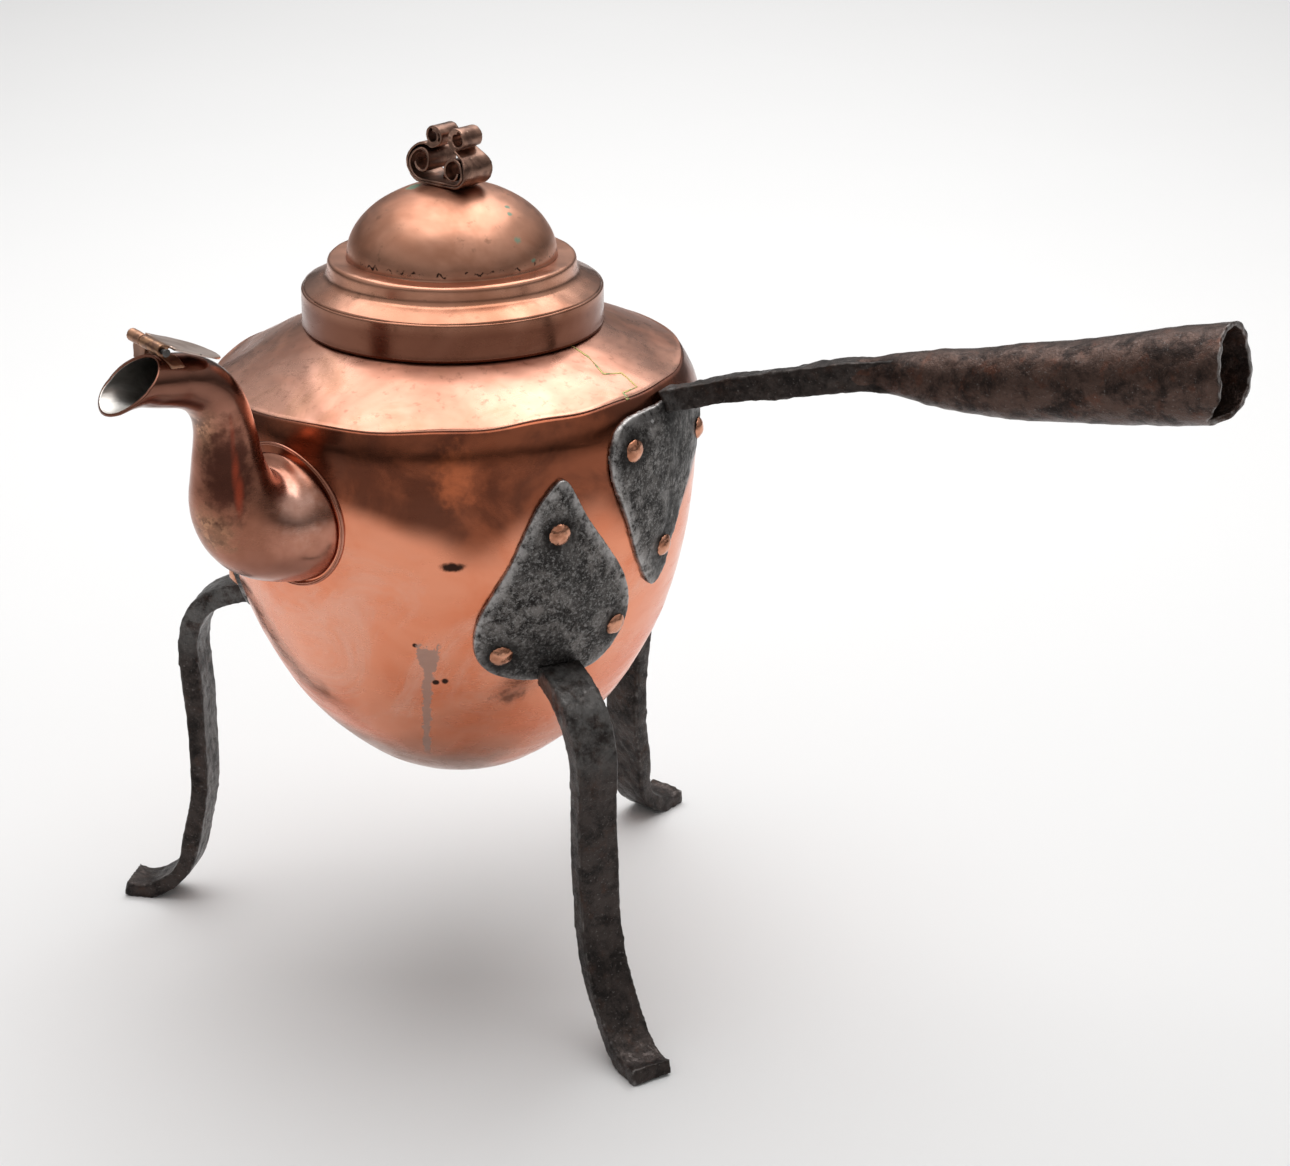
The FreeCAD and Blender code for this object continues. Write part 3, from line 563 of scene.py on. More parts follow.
def lid_copper():
    """Lid copper: brown-gold, freckled, with verdigris and dark notches where the dome is brazed on; the band
    is painted dark as a reflection.
    """
    make = Maker("lid_copper", 1, 0.3)
    colour, roughness = copper_skin(make, (0.64, 0.325, 0.22), (0.4, 0.175, 0.105))
    freckles = make.between(make.noise(150, 4, 0.6), 0.6, 0.72, 0, 0.5)
    colour = make.mix(colour, (0.2, 0.1, 0.06), freckles)
    # painted reflection: the band and the step's foot are painted dark brown for the dim room they mirror
    low = make.between(make.z, 0.296, 0.286)
    colour = make.tint(colour, (0.17, 0.06, 0.036), low, 0.85)
    angle = make.math("ARCTAN2", make.y, make.x)
    teeth = make.math("SINE", make.times(angle, 74))
    jagged = make.plus(make.times(teeth, 0.0006), make.between(make.noise(420), 0, 1, -0.001, 0.001))
    line = make.math("ABSOLUTE", make.minus(make.plus(make.z, jagged), 0.3062))
    notch = make.between(line, 0.0007, 0.0002)
    broken = make.between(make.noise(230, 3, offset=0.2), 0.5, 0.58)
    colour = make.tint(colour, (0.05, 0.025, 0.018), notch, broken)
    green = make.either(make.mark(-153, 15, 331.5, 4.2, 2.2, 0.6), make.mark(-1, 26.5, 326.5, 1.6, 1, 0.5),
                        make.mark(-6, 29.5, 324.6, 1.6, 1, 0.5), make.mark(-7, 42, 307.8, 1.8, 1, 0.5),
                        make.mark(-14, 38.5, 316.6, 2.2, 1.8, 0.7, 0.7))
    colour = make.tint(colour, (0.22, 0.36, 0.27), green, 0.85)
    copper_relief(make, 0.8)
    satin = make.plus(roughness, make.between(make.z, 0.29, 0.312, 0, 0.12))
    return make.done(colour, make.plus(satin, make.times(green, 0.3)))


def spout_copper():
    """Red-brown copper with scaly dark patches at the elbows."""
    make = Maker("spout_copper", 1, 0.3)
    colour, roughness = copper_skin(make, (0.52, 0.235, 0.165), (0.3, 0.12, 0.075))
    scale_marks = make.between(make.noise(330, 5, 0.7), 0.4, 0.54)
    elbow = make.either(make.blot((-0.026, -0.137, 0.268), (0.012, 0.01, 0.018), 0.4, 0.9),
                        make.blot((-0.024, -0.142, 0.222), (0.018, 0.014, 0.018), 0.4, 0.9))
    colour = make.tint(colour, (0.62, 0.38, 0.22), elbow, 0.45)
    colour = make.tint(colour, (0.13, 0.065, 0.045), make.times(scale_marks, elbow), 0.85)
    # darker towards the top of the spout
    upper = make.between(make.z, 0.262, 0.284)
    colour = make.tint(colour, (0.16, 0.07, 0.048), upper, 0.8)
    shade = make.blot((-0.015, -0.136, 0.25), (0.0145, 0.0135, 0.026), 0.4, 0.6)
    colour = make.tint(colour, (0.085, 0.028, 0.02), shade, 0.85)
    streaks = (((-0.0142, -0.1338, 0.261), (0.0016, 0.003, 0.012)),
               ((-0.0134, -0.1335, 0.251), (0.0019, 0.0032, 0.013)),
               ((-0.0124, -0.133, 0.241), (0.0022, 0.0034, 0.012)))
    streak = make.either(*[make.blot(centre, size, 0.1, 0.9) for centre, size in streaks])
    colour = make.tint(colour, (0.58, 0.095, 0.045), streak, 0.7)
    # painted highlight: a pale pink patch at the spout's foot
    painted_foot_highlight = make.blot((-0.006, -0.11, 0.228), (0.016, 0.014, 0.018), 0.3, 0.9)
    colour = make.tint(colour, (0.85, 0.52, 0.42), painted_foot_highlight, 0.7)
    copper_relief(make, 0.7)
    return make.done(colour, roughness)


def aged_copper(name, bright, deep, roughness):
    """Dark handled copper of small fittings, brighter on its edges."""
    make = Maker(name, 1, roughness)
    patches = make.between(make.noise(120, 4, 0.6, 0.4), 0.35, 0.65)
    colour = make.mix(bright, deep, patches)
    edge = make.pointed(0.53, 0.62)
    colour = make.tint(colour, (0.62, 0.42, 0.32), edge, 0.55)
    make.relief((make.noise(240, 4), 0.15, 0.0006),)
    handled = make.between(make.noise(80, 4), 0.3, 0.7, roughness - 0.08, roughness + 0.1)
    return make.done(colour, handled)


def rivet_copper():
    """Bright hammered copper heads with dirt in the joint."""
    make = Maker("rivet_copper", 1, 0.3)
    patches = make.between(make.noise(170, 4), 0.38, 0.64)
    colour = make.mix((0.7, 0.34, 0.22), (0.4, 0.17, 0.1), patches)
    edge = make.pointed(0.49, 0.42)
    colour = make.tint(colour, (0.1, 0.05, 0.03), edge, 0.8)
    make.relief((make.noise(300, 3), 0.12, 0.0005),)
    return make.done(colour, make.between(make.noise(200), 0.3, 0.7, 0.17, 0.3))


def tinned():
    """Grey-white tinning, darker and copper where it has worn."""
    make = Maker("tinned", 1, 0.35)
    patches = make.between(make.noise(38, 5, 0.7, 0.5), 0.4, 0.7)
    colour = make.mix((0.68, 0.66, 0.63), (0.36, 0.33, 0.3), patches)
    worn = make.between(make.noise(70, 5, 0.7, offset=0.3), 0.62, 0.72, 0, 0.6)
    colour = make.mix(colour, (0.5, 0.28, 0.19), worn)
    make.relief((make.noise(120, 4), 0.2, 0.0005),)
    return make.done(colour, make.between(make.noise(50, 4), 0.3, 0.7, 0.28, 0.46))


def flap_copper():
    """Thin plate, tinned pinkish silver with dark edges."""
    make = Maker("flap_copper", 1, 0.32)
    colour = make.mix((0.74, 0.6, 0.53), (0.52, 0.38, 0.31), make.between(make.noise(90, 4), 0.4, 0.65))
    edge = make.pointed(0.52, 0.6)
    colour = make.tint(colour, (0.13, 0.09, 0.07), edge, 0.8)
    away = make.vector("SUBTRACT", make.place, FLAP_HINGE["pos_m"])
    swept = make.vector("CROSS_PRODUCT", away, FLAP_HINGE["axis"])
    bare = make.mix((0.5, 0.27, 0.15), (0.22, 0.12, 0.08), make.between(make.noise(200, 4), 0.4, 0.62))
    knuckle = make.between(make.length(swept), 0.0034, 0.0029)
    colour = make.mix(colour, bare, knuckle)
    make.relief((make.noise(150, 4), 0.15, 0.0005),)
    return make.done(colour, 0.33)


def brass_solder():
    """Yellow-green brazing metal."""
    make = Maker("brass_solder", 0.35, 0.45)
    patches = make.between(make.noise(240, 3), 0.42, 0.62)
    colour = make.mix((0.66, 0.55, 0.2), (0.26, 0.33, 0.14), patches)
    return make.done(colour, make.between(make.noise(300), 0.3, 0.7, 0.35, 0.6))


def hammered_iron():
    """Plate iron: steel grey scoured bright towards its rim, black in its pits."""
    make = Maker("hammered_iron", 0.9, 0.45)
    blotches = make.between(make.noise(120, 10, 0.82, 0.3), 0.4, 0.58)
    colour = make.mix((0.158, 0.145, 0.137), (0.02, 0.017, 0.016), blotches)
    broad = make.between(make.noise(38, 4, 0.6, offset=0.5), 0.45, 0.62)
    colour = make.tint(colour, (0.035, 0.033, 0.032), broad, 0.55)
    speckle = make.between(make.noise(800, 4, 0.8), 0.5, 0.62)
    colour = make.tint(colour, (0.36, 0.35, 0.34), speckle, 0.5)
    rim = make.stored("rim")
    rubbed = make.times(rim, make.between(make.noise(230, 5, 0.7), 0.38, 0.56))
    colour = make.tint(colour, (0.44, 0.42, 0.41), rubbed, 0.9)
    edge = make.pointed(0.51, 0.57)
    colour = make.tint(colour, (0.62, 0.61, 0.6), edge, 0.6)
    grain = make.noise(150, 6, 0.75, place=make.stretched((1, 1, 0.16)))
    streaks = make.times(make.between(grain, 0.42, 0.56), make.between(make.y, -0.012, 0))
    streaks = make.times(streaks, make.between(make.x, 0.05, 0.07))
    colour = make.tint(colour, (0.02, 0.018, 0.017), streaks, 0.75)
    # painted shade: the plate darkens in a ring round each rivet
    painted_rivet_shade = make.stored("painted_rivet_shade")
    mottled_rivet_shade = make.times(painted_rivet_shade, make.between(make.noise(260, 4), 0.25, 0.6, 0.5, 1))
    colour = make.tint(colour, (0.012, 0.01, 0.009), mottled_rivet_shade, 0.9)
    make.relief((make.noise(110, 5, 0.7), 0.45, 0.0008), (make.noise(520, 5, 0.7), 0.35, 0.0003))
    roughness = make.between(blotches, 0, 1, 0.34, 0.52)
    return make.done(colour, make.minus(roughness, make.times(rubbed, 0.08)))


def forged_iron(name, light, dark, warm, root_lightening):
    """Forged bar: blackened, pitted, brown with age, rubbed grey on its edges and lighter grey at its root.
    """
    make = Maker(name, 0.85, 0.45)
    blotches = make.between(make.noise(110, 8, 0.76, 0.3), 0.4, 0.64)
    colour = make.mix(light, dark, blotches)
    rust = make.between(make.noise(130, 5, 0.7, offset=0.6), 0.52, 0.7)
    colour = make.mix(colour, warm, make.times(rust, 0.6))
    glints = make.between(make.noise(900, 3, 0.7), 0.6, 0.7)
    colour = make.tint(colour, (0.26, 0.24, 0.23), glints, 0.35)
    edge = make.pointed(0.52, 0.6)
    ragged = make.times(edge, make.between(make.noise(260, 4), 0.38, 0.6))
    colour = make.tint(colour, (0.36, 0.34, 0.33), ragged, 0.8)
    # lighter grey near the roots of the legs and of the arm, as strong as the last argument
    leg_root = make.times(make.between(make.z, 0.112, 0.14), make.between(make.z, 0.2, 0.18))
    arm_root = make.times(make.between(make.x, 0.116, 0.1), make.between(make.z, 0.22, 0.24))
    uneven = make.between(make.noise(140, 6, 0.7), 0.36, 0.6)
    lighter_root = make.times(make.either(leg_root, arm_root), uneven)
    colour = make.tint(colour, (0.16, 0.155, 0.15), lighter_root, root_lightening)
    pits = make.between(make.noise(330, 6, 0.75), 0.36, 0.56)
    make.relief((make.noise(70, 4, 0.6), 0.3, 0.001), (pits, 0.4, 0.0003))
    return make.done(colour, make.between(blotches, 0, 1, 0.3, 0.46))


BOWL_COPPER = bowl_copper()
SHOULDER_COPPER = shoulder_copper()
LID_COPPER = lid_copper()
SPOUT_COPPER = spout_copper()
KNOB_COPPER = aged_copper("knob_copper", (0.36, 0.21, 0.155), (0.14, 0.078, 0.058), 0.34)
HINGE_COPPER = aged_copper("hinge_copper", (0.5, 0.27, 0.17), (0.24, 0.13, 0.09), 0.36)
RIVET_COPPER = rivet_copper()
TINNED = tinned()
FLAP_COPPER = flap_copper()
BRASS_SOLDER = brass_solder()
HAMMERED_IRON = hammered_iron()
BAR_IRON = forged_iron("bar_iron", (0.052, 0.041, 0.037), (0.016, 0.013, 0.012), (0.06, 0.034, 0.025), 0.7)
SOCKET_IRON = forged_iron("socket_iron", (0.09, 0.055, 0.044), (0.02, 0.013, 0.011), (0.12, 0.046, 0.028), 0)


# ---- pot
def bowl_radius(height):
    """Return the bowl's outside radius at a height or heights."""
    depth = np.clip((BELLY_Z - height) / (BELLY_Z - BOTTOM_Z), 0, 1)
    lower = BELLY_RADIUS * (1 - depth ** DEPTH_POWER) ** (1 / RADIUS_POWER)
    rise = np.clip((height - BELLY_Z) / TURN_IN, 0, 1)
    return np.where(height < BELLY_Z, lower, BELLY_RADIUS * np.sqrt(1 - rise ** 2))


def crease_height(angles):
    """Return the height of the tilted, slightly wandering crease at each azimuth."""
    wander = 0.35 * MM * ripple(ring_points(BELLY_RADIUS, angles, 0 * angles), 0.050, 31)
    return CREASE_Z + CREASE_SLOPE * BELLY_RADIUS * np.cos(angles - CREASE_HIGH_SIDE) + wander


def make_bowl():
    """Raised bowl, its side running on over the seam and the strainer."""
    columns, lower_rows, upper_rows = 288, 76, 14
    angles = round_angles(columns)
    top = crease_height(angles)
    rows = []
    for row in range(1, lower_rows + 1):
        turn = math.pi / 2 * row / lower_rows
        rows.append(0 * angles + BELLY_Z - (BELLY_Z - BOTTOM_Z) * math.cos(turn) ** (2 / DEPTH_POWER))
    for row in range(1, upper_rows + 1):
        rows.append(BELLY_Z + (top - BELLY_Z) * row / upper_rows)
    height = np.array(rows)
    radius = bowl_radius(height)
    grid = ring_points(radius, angles, height)
    pushed = worked(grid, 0.22 * MM, 0.035 * MM, 11)
    # near its top the side isn't pushed, so that it meets the crease
    hold = np.clip((top - height) / (6 * MM), 0, 1)[..., None]
    grid = grid + (pushed - grid) * hold
    nodes = ["pot_bottom", "pot_side", "spout_strainer"]
    drill_strainer(shell("bowl", grid, SHEET, BOWL_COPPER, "pot", nodes, capped=True))


def drill_strainer(bowl):
    """Cut the strainer holes behind the spout."""
    sides = 14
    inside_wall, outside_wall = 80 * MM, 110 * MM
    points, faces = [], []
    for ring, count in STRAINER_RINGS:
        for index in range(count):
            turn = 2 * math.pi * index / count
            start = len(points)
            for out in (inside_wall, outside_wall):
                for side in range(sides):
                    angle = 2 * math.pi * side / sides
                    across = ring * math.cos(turn) + STRAINER_HOLE * math.cos(angle)
                    height = SPOUT_ROOT_Z + ring * math.sin(turn) + STRAINER_HOLE * math.sin(angle)
                    points.append((out, across, height))
            for side in range(sides):
                beside = (side + 1) % sides
                faces.append((start + side, start + beside, start + sides + beside, start + sides + side))
            faces.append(tuple(start + side for side in reversed(range(sides))))
            faces.append(tuple(start + sides + side for side in range(sides)))
    mesh = bpy.data.meshes.new("strainer_bits")
    mesh.from_pydata(turned_to_spout(np.array(points)).tolist(), [], faces)
    bits = add_object("strainer_bits", mesh)
    cut = bowl.modifiers.new("holes", "BOOLEAN")
    cut.operation = "DIFFERENCE"
    cut.object = bits
    apply_modifiers(bowl)
    bpy.data.objects.remove(bits)


def shoulder_push(points):
    """Return how far the shoulder is worked in or out at each point."""
    return 0.30 * MM * ripple(points, 0.060, 21) + 0.04 * MM * ripple(points, 0.012, 22)


def make_shoulder():
    """Cone from the crease to the neck."""
    columns, rows = 288, 30
    angles = round_angles(columns)
    low = crease_height(angles)
    # the first rows roll over a small bead at the crease
    share = np.concatenate([[0.0, 0.006, 0.014], np.linspace(0.03, 1, rows)])[:, None]
    lift = np.array([0.0, 0.35, 0.30] + [0.0] * rows)[:, None] * MM
    radius = bowl_radius(low) * (1 - share) + NECK_RING_RADIUS * share - 0.25 * MM * (share == 0)
    height = low * (1 - share) + NECK_Z * share + lift
    grid = ring_points(radius, angles, height)
    hold = np.clip(share / 0.08, 0, 1) * np.clip((1 - share) / 0.15, 0, 1)
    grid = grid + grid_normals(grid) * (shoulder_push(grid) * hold)[..., None]
    shell("shoulder", grid, SHEET, SHOULDER_COPPER, "pot", ["pot_shoulder"])


def make_collar():
    """Upright collar inside the lid's band."""
    outline = [(COLLAR_RADIUS, NECK_Z - 1.5 * MM), (COLLAR_RADIUS, COLLAR_TOP)]
    grid = turned_grid(spaced(outline, 1.5 * MM), 192)
    shell("collar", grid, THIN_SHEET, SHOULDER_COPPER, "pot", ["neck_collar"])


def make_lid():
    """Band, stepped ring and dome, with rolled corners."""
    corners = [(BAND_RADIUS + 0.2 * MM, BAND_FOOT + 0.1 * MM), (BAND_RADIUS, BAND_FOOT + 2 * MM),
               (BAND_RADIUS, BAND_TOP - 0.5 * MM), (BAND_RADIUS - 1.0 * MM, BAND_TOP + 0.1 * MM)]
    band = rounded(corners, 0.8 * MM)
    grid = worked(turned_grid(spaced(band, 1.5 * MM), 240), 0.10 * MM, 0.02 * MM, 41)
    shell("lid_band_sheet", grid, THIN_SHEET, LID_COPPER, "lid", ["lid_band"])
    corners = [(BAND_RADIUS - 0.7 * MM, BAND_TOP), (STEP_RADIUS, STEP_FOOT), (STEP_RADIUS, STEP_TOP),
               (LEDGE_INNER, STEP_TOP)]
    step = rounded(corners, 2.2 * MM, 7)
    grid = worked(turned_grid(spaced(step, 1.2 * MM), 240), 0.16 * MM, 0.03 * MM, 43)
    shell("lid_step_sheet", grid, THIN_SHEET, LID_COPPER, "lid", ["lid_step"])
    rows = 44
    outline = []
    steepest = math.pi / 2 * 0.985    # leaves the hole for the knob's rivet
    for row in range(rows):
        angle = steepest * (1 - row / (rows - 1))
        height = STEP_TOP + (DOME_TOP - STEP_TOP) * math.sin(angle)
        outline.append((DOME_RADIUS * math.cos(angle), height))
    outline += [(DOME_RADIUS + 0.25 * MM, STEP_TOP - 0.3 * MM)]
    grid = turned_grid(np.array(outline), 216)
    grid = worked(grid, 0.18 * MM, 0.03 * MM, 45)
    shell("dome", grid[::-1], THIN_SHEET, LID_COPPER, "lid", ["lid_dome"])


# ---- spout
def turned_to_spout(grid):
    """Turn points drawn in the spout's own plane to its azimuth."""
    out, across, height = grid[..., 0], grid[..., 1], grid[..., 2]
    cosine, sine = math.cos(SPOUT_AZIMUTH), math.sin(SPOUT_AZIMUTH)
    return np.stack([out * cosine - across * sine, out * sine + across * cosine, height], axis=-1)


def blended(stations, steps):
    """Return smooth in-between stations."""
    stations = np.array(stations)
    dense = []
    last = len(stations) - 1
    for index in range(last):
        before, start = stations[max(index - 1, 0)], stations[index]
        end, after = stations[index + 1], stations[min(index + 2, last)]
        for step in range(steps):
            share = step / steps
            slope = (end - before) * share
            bend = (2 * before - 5 * start + 4 * end - after) * share ** 2
            twist = (3 * start - before - 3 * end + after) * share ** 3
            dense.append(start + (slope + bend + twist) / 2)
    dense.append(stations[last])
    return np.array(dense)


def tube_grid(stations, columns, steps=10):
    """Return the skin of a row of stations, in metres, in the stations' own plane."""
    dense = blended(stations, steps)
    out, height, climb, half_height, half_width = [dense[:, index][:, None] for index in range(5)]
    angles = round_angles(columns)
    climb = np.radians(climb)
    lift = half_height * np.sin(angles)
    across = half_width * np.cos(angles)
    return np.stack([out - lift * np.sin(climb), across, height + lift * np.cos(climb)], axis=2) * MM


def trimmed(grid, first, last, rows):
    """Resample each column of a grid between its own first and last row numbers."""
    columns = grid.shape[1]
    result = np.empty((rows, columns, 3))
    for column in range(columns):
        places = np.linspace(first[column], last[column], rows)
        for axis in range(3):
            result[:, column, axis] = np.interp(places, np.arange(len(grid)), grid[:, column, axis])
    return result


def crossing(values, start):
    """Return, for each column, the fractional row after start where values first turn positive."""
    rows, columns = values.shape
    result = np.full(columns, rows - 1.0)
    for column in range(columns):
        for row in range(start, rows - 1):
            below, above = values[row, column], values[row + 1, column]
            if below <= 0 < above:
                result[column] = row - below / (above - below)
                break
    return result


def mouth_plane():
    """Return a point and the outward normal of the mouth's plane, in the spout's own plane's frame."""
    back = Matrix.Rotation(-SPOUT_AZIMUTH, 3, "Z")
    place = back @ Vector(FLAP_HINGE["pos_m"])
    axis = back @ Vector(FLAP_HINGE["axis"])
    flat = Vector((math.cos(FLAP_CLOSED_ANGLE), 0, math.sin(FLAP_CLOSED_ANGLE)))
    normal = flat.cross(axis).normalized()
    return np.array(place - normal * SEAT_DROP), np.array(normal)


def make_spout():
    """Spout tube from the bowl to its slanting mouth, with its lip turned out, most of all below."""
    columns, rows = 112, 150
    grid = tube_grid(SPOUT_STATIONS, columns)
    point, normal = mouth_plane()
    middle = len(grid) // 2
    normals = grid_normals(grid)
    near_mouth = np.clip(1 + (grid - point) @ normal / LIP_DEPTH, 0, 1) ** 2
    near_mouth[:middle] = 0
    lower_side = np.clip(-normals[..., 2], 0, 1) + 0.25
    flare = LIP_FLARE * near_mouth * lower_side
    grid = grid + normals * flare[..., None]
    outside_bowl = np.hypot(grid[..., 0], grid[..., 1]) - bowl_radius(grid[..., 2])
    first = crossing(outside_bowl + 0.7 * MM, 0)
    last = crossing((grid - point) @ normal + MOUTH_CLEAR, middle)
    grid = turned_to_spout(worked(trimmed(grid, first, last, rows), 0.16 * MM, 0.035 * MM, 51))
    shell("spout", grid, THIN_SHEET, SPOUT_COPPER, "pot", ["spout_base", "spout_neck"])


def make_seat_ring():
    """Twin-bead ring soldered round the spout's foot, hugging the bowl."""
    columns = 144
    # in millimetres: outward from the ring's radius, and proud of the bowl
    section = [(-1.3, -0.4), (-1.25, 0.6), (-1.0, 1.0), (-0.7, 0.95), (-0.5, 0.55), (-0.3, 0.95), (0.0, 1.0),
               (0.25, 0.6), (0.3, -0.4)]
    angles = round_angles(columns)
    rows = []
    for outward, proud in spaced([np.array(point) for point in section], 0.4):
        reach = SEAT_RING_RADIUS + outward * MM
        across = reach * np.cos(angles)
        height = SPOUT_ROOT_Z + reach * np.sin(angles)
        radius = bowl_radius(height) + proud * MM
        rows.append(np.stack([np.sqrt(radius ** 2 - across ** 2), across, height], axis=1))
    grid = turned_to_spout(np.array(rows))
    faces = quads(len(rows), columns, closed_rows=True)
    add_piece("seat_ring", grid.reshape(-1, 3), faces, SPOUT_COPPER, "pot", ["spout_seat_ring"])


# ---- handle socket
def make_socket():
    """Rolled socket with an overlapping seam and a ragged, worn mouth."""
    columns, rows = 120, 110
    grid = tube_grid(SOCKET_STATIONS, columns)
    angles = round_angles(columns)
    worn_side = math.radians(250)
    far_low = np.clip(np.cos(angles - worn_side), 0, 1)
    low = np.clip(-np.sin(angles), 0, 1)
    edge = 0.35 * np.sin(3 * angles + 1) + 0.3 * np.sin(7 * angles) + 0.28 * np.sin(17 * angles + 2)
    # rows cut back from the mouth, most of all where it wore
    cut = 1.0 + 2.0 * low + 5.0 * far_low ** 3 + edge * 0.8
    grid = trimmed(grid, np.zeros(columns), len(grid) - 1 - cut, rows)
    full_turn = 2 * math.pi
    step = SOCKET_LAP * (1 - ((angles - SOCKET_SEAM) % full_turn) / full_turn) ** 6
    push = 0.30 * MM * ripple(grid, 0.040, 61) + 0.10 * MM * ripple(grid, 0.009, 62) + step
    normals = grid_normals(grid)
    outer = grid + normals * push[..., None]
    inner = grid - normals * SOCKET_WALL
    deep = inner[:, :, 0].mean(1) > SOCKET_FLOOR
    points, faces = capped_skin(outer, inner[deep])
    add_piece("socket", points, faces, SOCKET_IRON, "pot", ["handle_socket"])


# ---- seam on the shoulder
def seam_centre():
    """Return the points of the seam's middle on the worked shoulder, and the shoulder's outward lift."""
    # azimuth in degrees and height in millimetres
    path = [(-7.5, 276.0), (-7.2, 272.8), (-9.9, 268.6), (-4.2, 267.4), (-5.4, 263.9), (-11.2, 263.9),
            (-12.6, 259.4)]
    steps = 14
    places = []
    for (azimuth, height), (turned, lower) in zip(path, path[1:]):
        for step in range(steps):
            share = step / steps
            places.append((azimuth + (turned - azimuth) * share, height + (lower - height) * share))
    places.append(path[-1])
    centre = []
    for azimuth, height in places:
        angle = math.radians(azimuth)
        low = float(crease_height(angle))
        share = min(max((height * MM - low) / (NECK_Z - low), 0), 1)
        radius = float(bowl_radius(low)) * (1 - share) + NECK_RING_RADIUS * share
        centre.append(np.array([radius * math.cos(angle), radius * math.sin(angle), max(height * MM, low)]))
    centre = np.array(centre)
    lift = np.array([0.38, 0.0, 0.92])
    return centre + shoulder_push(centre)[:, None] * lift, lift


def make_shoulder_seam():
    """Brazed cramp seam that zigzags down the shoulder: a low bead of four strands."""
    half_width, proud = 0.50 * MM, 0.18 * MM
    centre, lift = seam_centre()
    side = np.cross(np.gradient(centre, axis=0), lift)
    side /= np.linalg.norm(side, axis=1, keepdims=True)
    width = half_width * (1 + 0.3 * ripple(centre, 0.006, 71))[:, None]
    strands = []
    for offset, rise in ((-1, -0.5), (-0.6, 1), (0.6, 1), (1, -0.5)):
        strands.append(centre + side * width * offset + lift * proud * rise)
    count = len(centre)
    points = np.concatenate(strands)
    faces = []
    for strand in range(3):
        for index in range(count - 1):
            a = strand * count + index
            faces.append((a, a + count, a + count + 1, a + 1))
    for index in range(count - 1):
        faces.append((index + 1, 3 * count + index + 1, 3 * count + index, index))
    faces += [(0, 3 * count, 2 * count, count), tuple(k * count + count - 1 for k in range(4))]
    add_piece("shoulder_seam", points, faces, BRASS_SOLDER, "pot", ())


# ---- ironwork, fittings and knob
def make_forged_pieces():
    """Every piece whose shape is its CAD node's, with hand-worked unevenness."""
    for leg, seed in (("front", 100), ("back", 120), ("left", 140)):
        plate = forged(leg + "_plate_iron", leg + "_leg_plate", "pot", HAMMERED_IRON, PLATE_WORK, seed)
        mark_plate(plate, leg)
        forged(leg + "_bar_iron", leg + "_leg_bar", "pot", BAR_IRON, BAR_WORK, seed + 5)
        forged(leg + "_rivet_heads", leg + "_leg_rivets", "pot", RIVET_COPPER, RIVET_WORK, seed + 9)
    plate = forged("handle_plate_iron", "handle_plate", "pot", HAMMERED_IRON, HANDLE_PLATE_WORK, 160)
    mark_plate(plate, "handle")
    forged("handle_rivet_heads", "handle_rivets", "pot", RIVET_COPPER, RIVET_WORK, 165)
    forged("arm_iron", "handle_arm", "pot", BAR_IRON, ARM_WORK, 170)
    forged("knob_outer_strip", "knob_outer_scroll", "lid", KNOB_COPPER, SCROLL_WORK, 180)
    forged("knob_inner_strip", "knob_inner_scroll", "lid", KNOB_COPPER, SCROLL_WORK, 183)
    forged("knob_rivet_head", "knob_rivet", "lid", RIVET_COPPER, KNOB_RIVET_WORK, 186)
    forged("hinge_leaf", "flap_hinge_leaf", "pot", HINGE_COPPER, LEAF_WORK, 190)
    forged("hinge_pin", "flap_pin", "pot", BAR_IRON, PIN_WORK, 193)
    forged("flap_plate", "spout_flap", "flap", FLAP_COPPER, FLAP_WORK, 196)


# ---- floor, lights and camera
def make_floor():
    """Plain pale floor."""
    make = Maker("pale_floor", 0.0, 0.75)
    material = make.done(make.mix((0.80, 0.80, 0.80), (0.78, 0.78, 0.78), make.noise(3.0)))
    mesh = bpy.data.meshes.new("floor")
    corners = [(FLOOR_REACH * x, FLOOR_REACH * y, 0) for x, y in ((-1, -1), (1, -1), (1, 1), (-1, 1))]
    mesh.from_pydata(corners, [], [(0, 1, 2, 3)])
    mesh.materials.append(material)
    floor = add_object("floor", mesh)


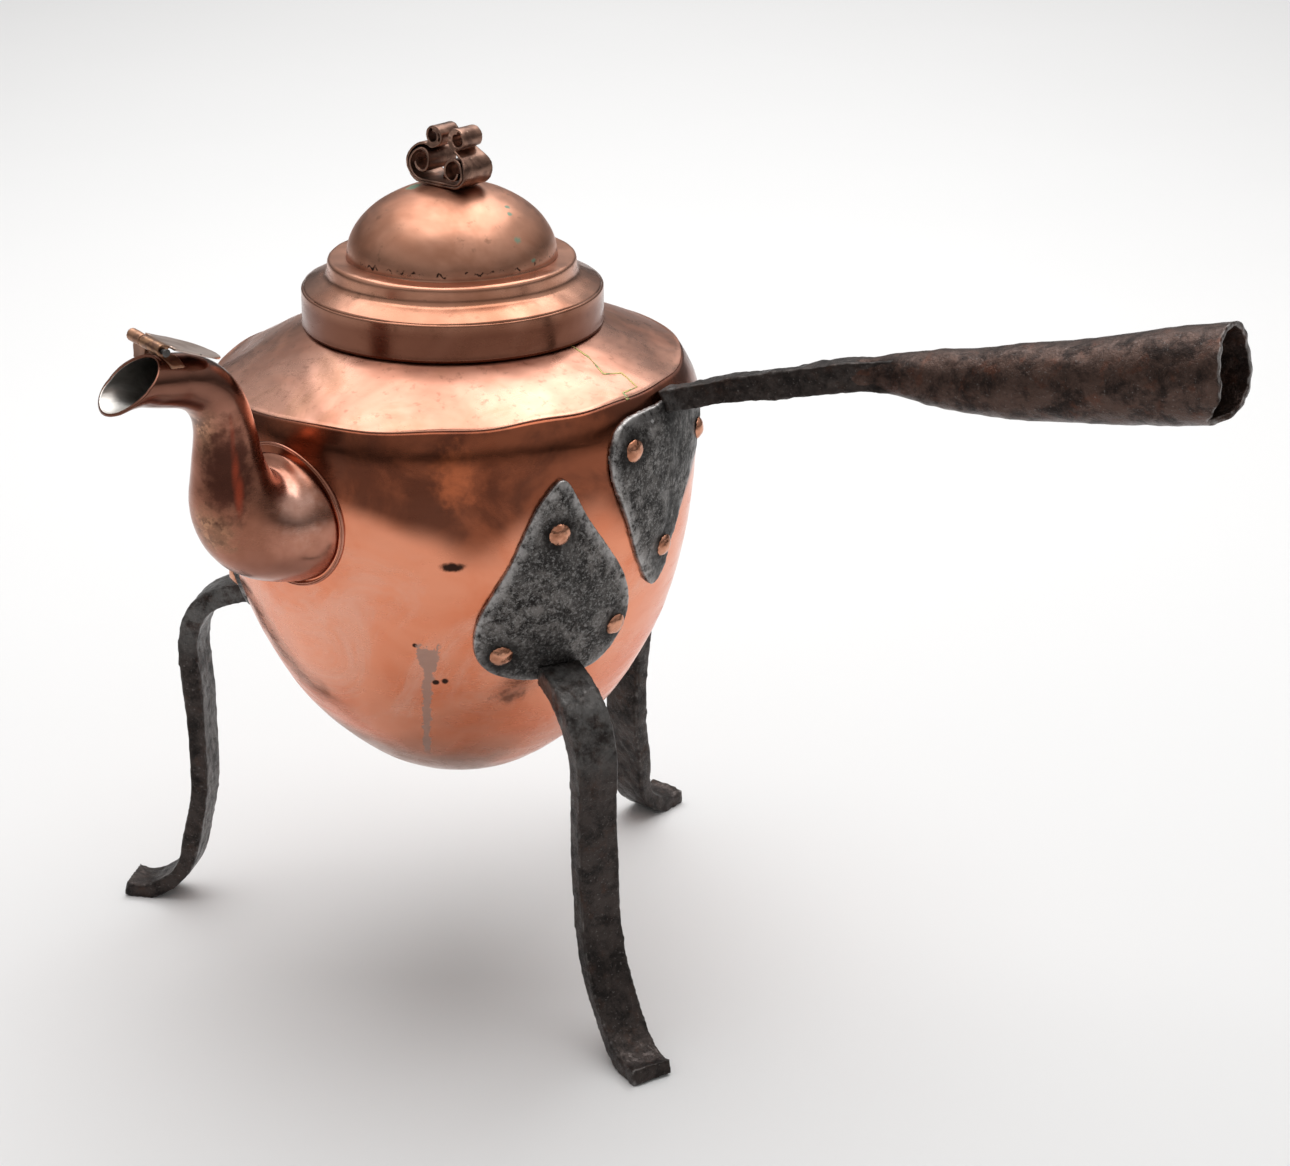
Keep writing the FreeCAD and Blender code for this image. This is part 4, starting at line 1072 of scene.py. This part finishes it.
def add_softbox(name, place, target, size, power, spread):
    """Square area lamp aimed at a point, its light held within a spread in degrees."""
    lamp = bpy.data.lights.new(name, "AREA")
    lamp.shape = "SQUARE"
    lamp.size = size
    lamp.energy = power
    lamp.spread = math.radians(spread)
    lamp_object = add_object(name, lamp)
    lamp_object.location = place
    aim = Vector(target) - Vector(place)
    lamp_object.rotation_euler = aim.to_track_quat("-Z", "Y").to_euler()


def make_lights():
    """Soft studio light: a box overhead, one behind for the floor, and a room that is dim near the floor."""
    add_softbox("overhead", (-0.20, 0.42, 1.60), (-0.05, 0.10, 0), size=1.8, power=13, spread=130)
    add_softbox("behind", (-0.9, 2.0, 2.2), (-0.9, 2.0, 0), size=1.8, power=12.5, spread=110)
    world = bpy.data.worlds.new("room")
    world.use_nodes = True
    tree = world.node_tree
    direction = tree.nodes.new("ShaderNodeTexCoord")
    parts = tree.nodes.new("ShaderNodeSeparateXYZ")
    tree.links.new(direction.outputs["Generated"], parts.inputs["Vector"])
    rise = tree.nodes.new("ShaderNodeMapRange")
    rise.interpolation_type = "SMOOTHSTEP"
    for name, value in (("From Min", 0.05), ("From Max", 0.55), ("To Min", 0.11), ("To Max", 0.60)):
        rise.inputs[name].default_value = value
    tree.links.new(parts.outputs["Z"], rise.inputs["Value"])
    tree.links.new(rise.outputs["Result"], tree.nodes["Background"].inputs["Strength"])
    tree.nodes["Background"].inputs["Color"].default_value = (1.0, 0.99, 0.98, 1)
    bpy.context.scene.world = world


def make_camera():
    """Camera at the kettle's usual three-quarter view, from the front and slightly above."""
    camera = bpy.data.cameras.new("camera")
    camera.sensor_width = SENSOR
    camera.lens = LENS
    forward = Vector(CAMERA_FORWARD).normalized()
    right = forward.cross(Vector((0, 0, 1))).normalized()
    up = right.cross(forward)
    side = right * math.cos(CAMERA_ROLL) + up * math.sin(CAMERA_ROLL)
    top = up * math.cos(CAMERA_ROLL) - right * math.sin(CAMERA_ROLL)
    turn = Matrix((side, top, -forward)).transposed().to_4x4()
    camera_object = add_object("camera", camera)
    camera_object.matrix_world = Matrix.Translation(CAMERA_PLACE) @ turn
    bpy.context.scene.camera = camera_object


make_bowl()
make_shoulder()
make_collar()
make_shoulder_seam()
make_lid()
make_spout()
make_seat_ring()
make_socket()
make_forged_pieces()
make_floor()
make_lights()
make_camera()
bpy.context.scene.view_settings.view_transform = "Standard"

bpy.context.view_layer.update()
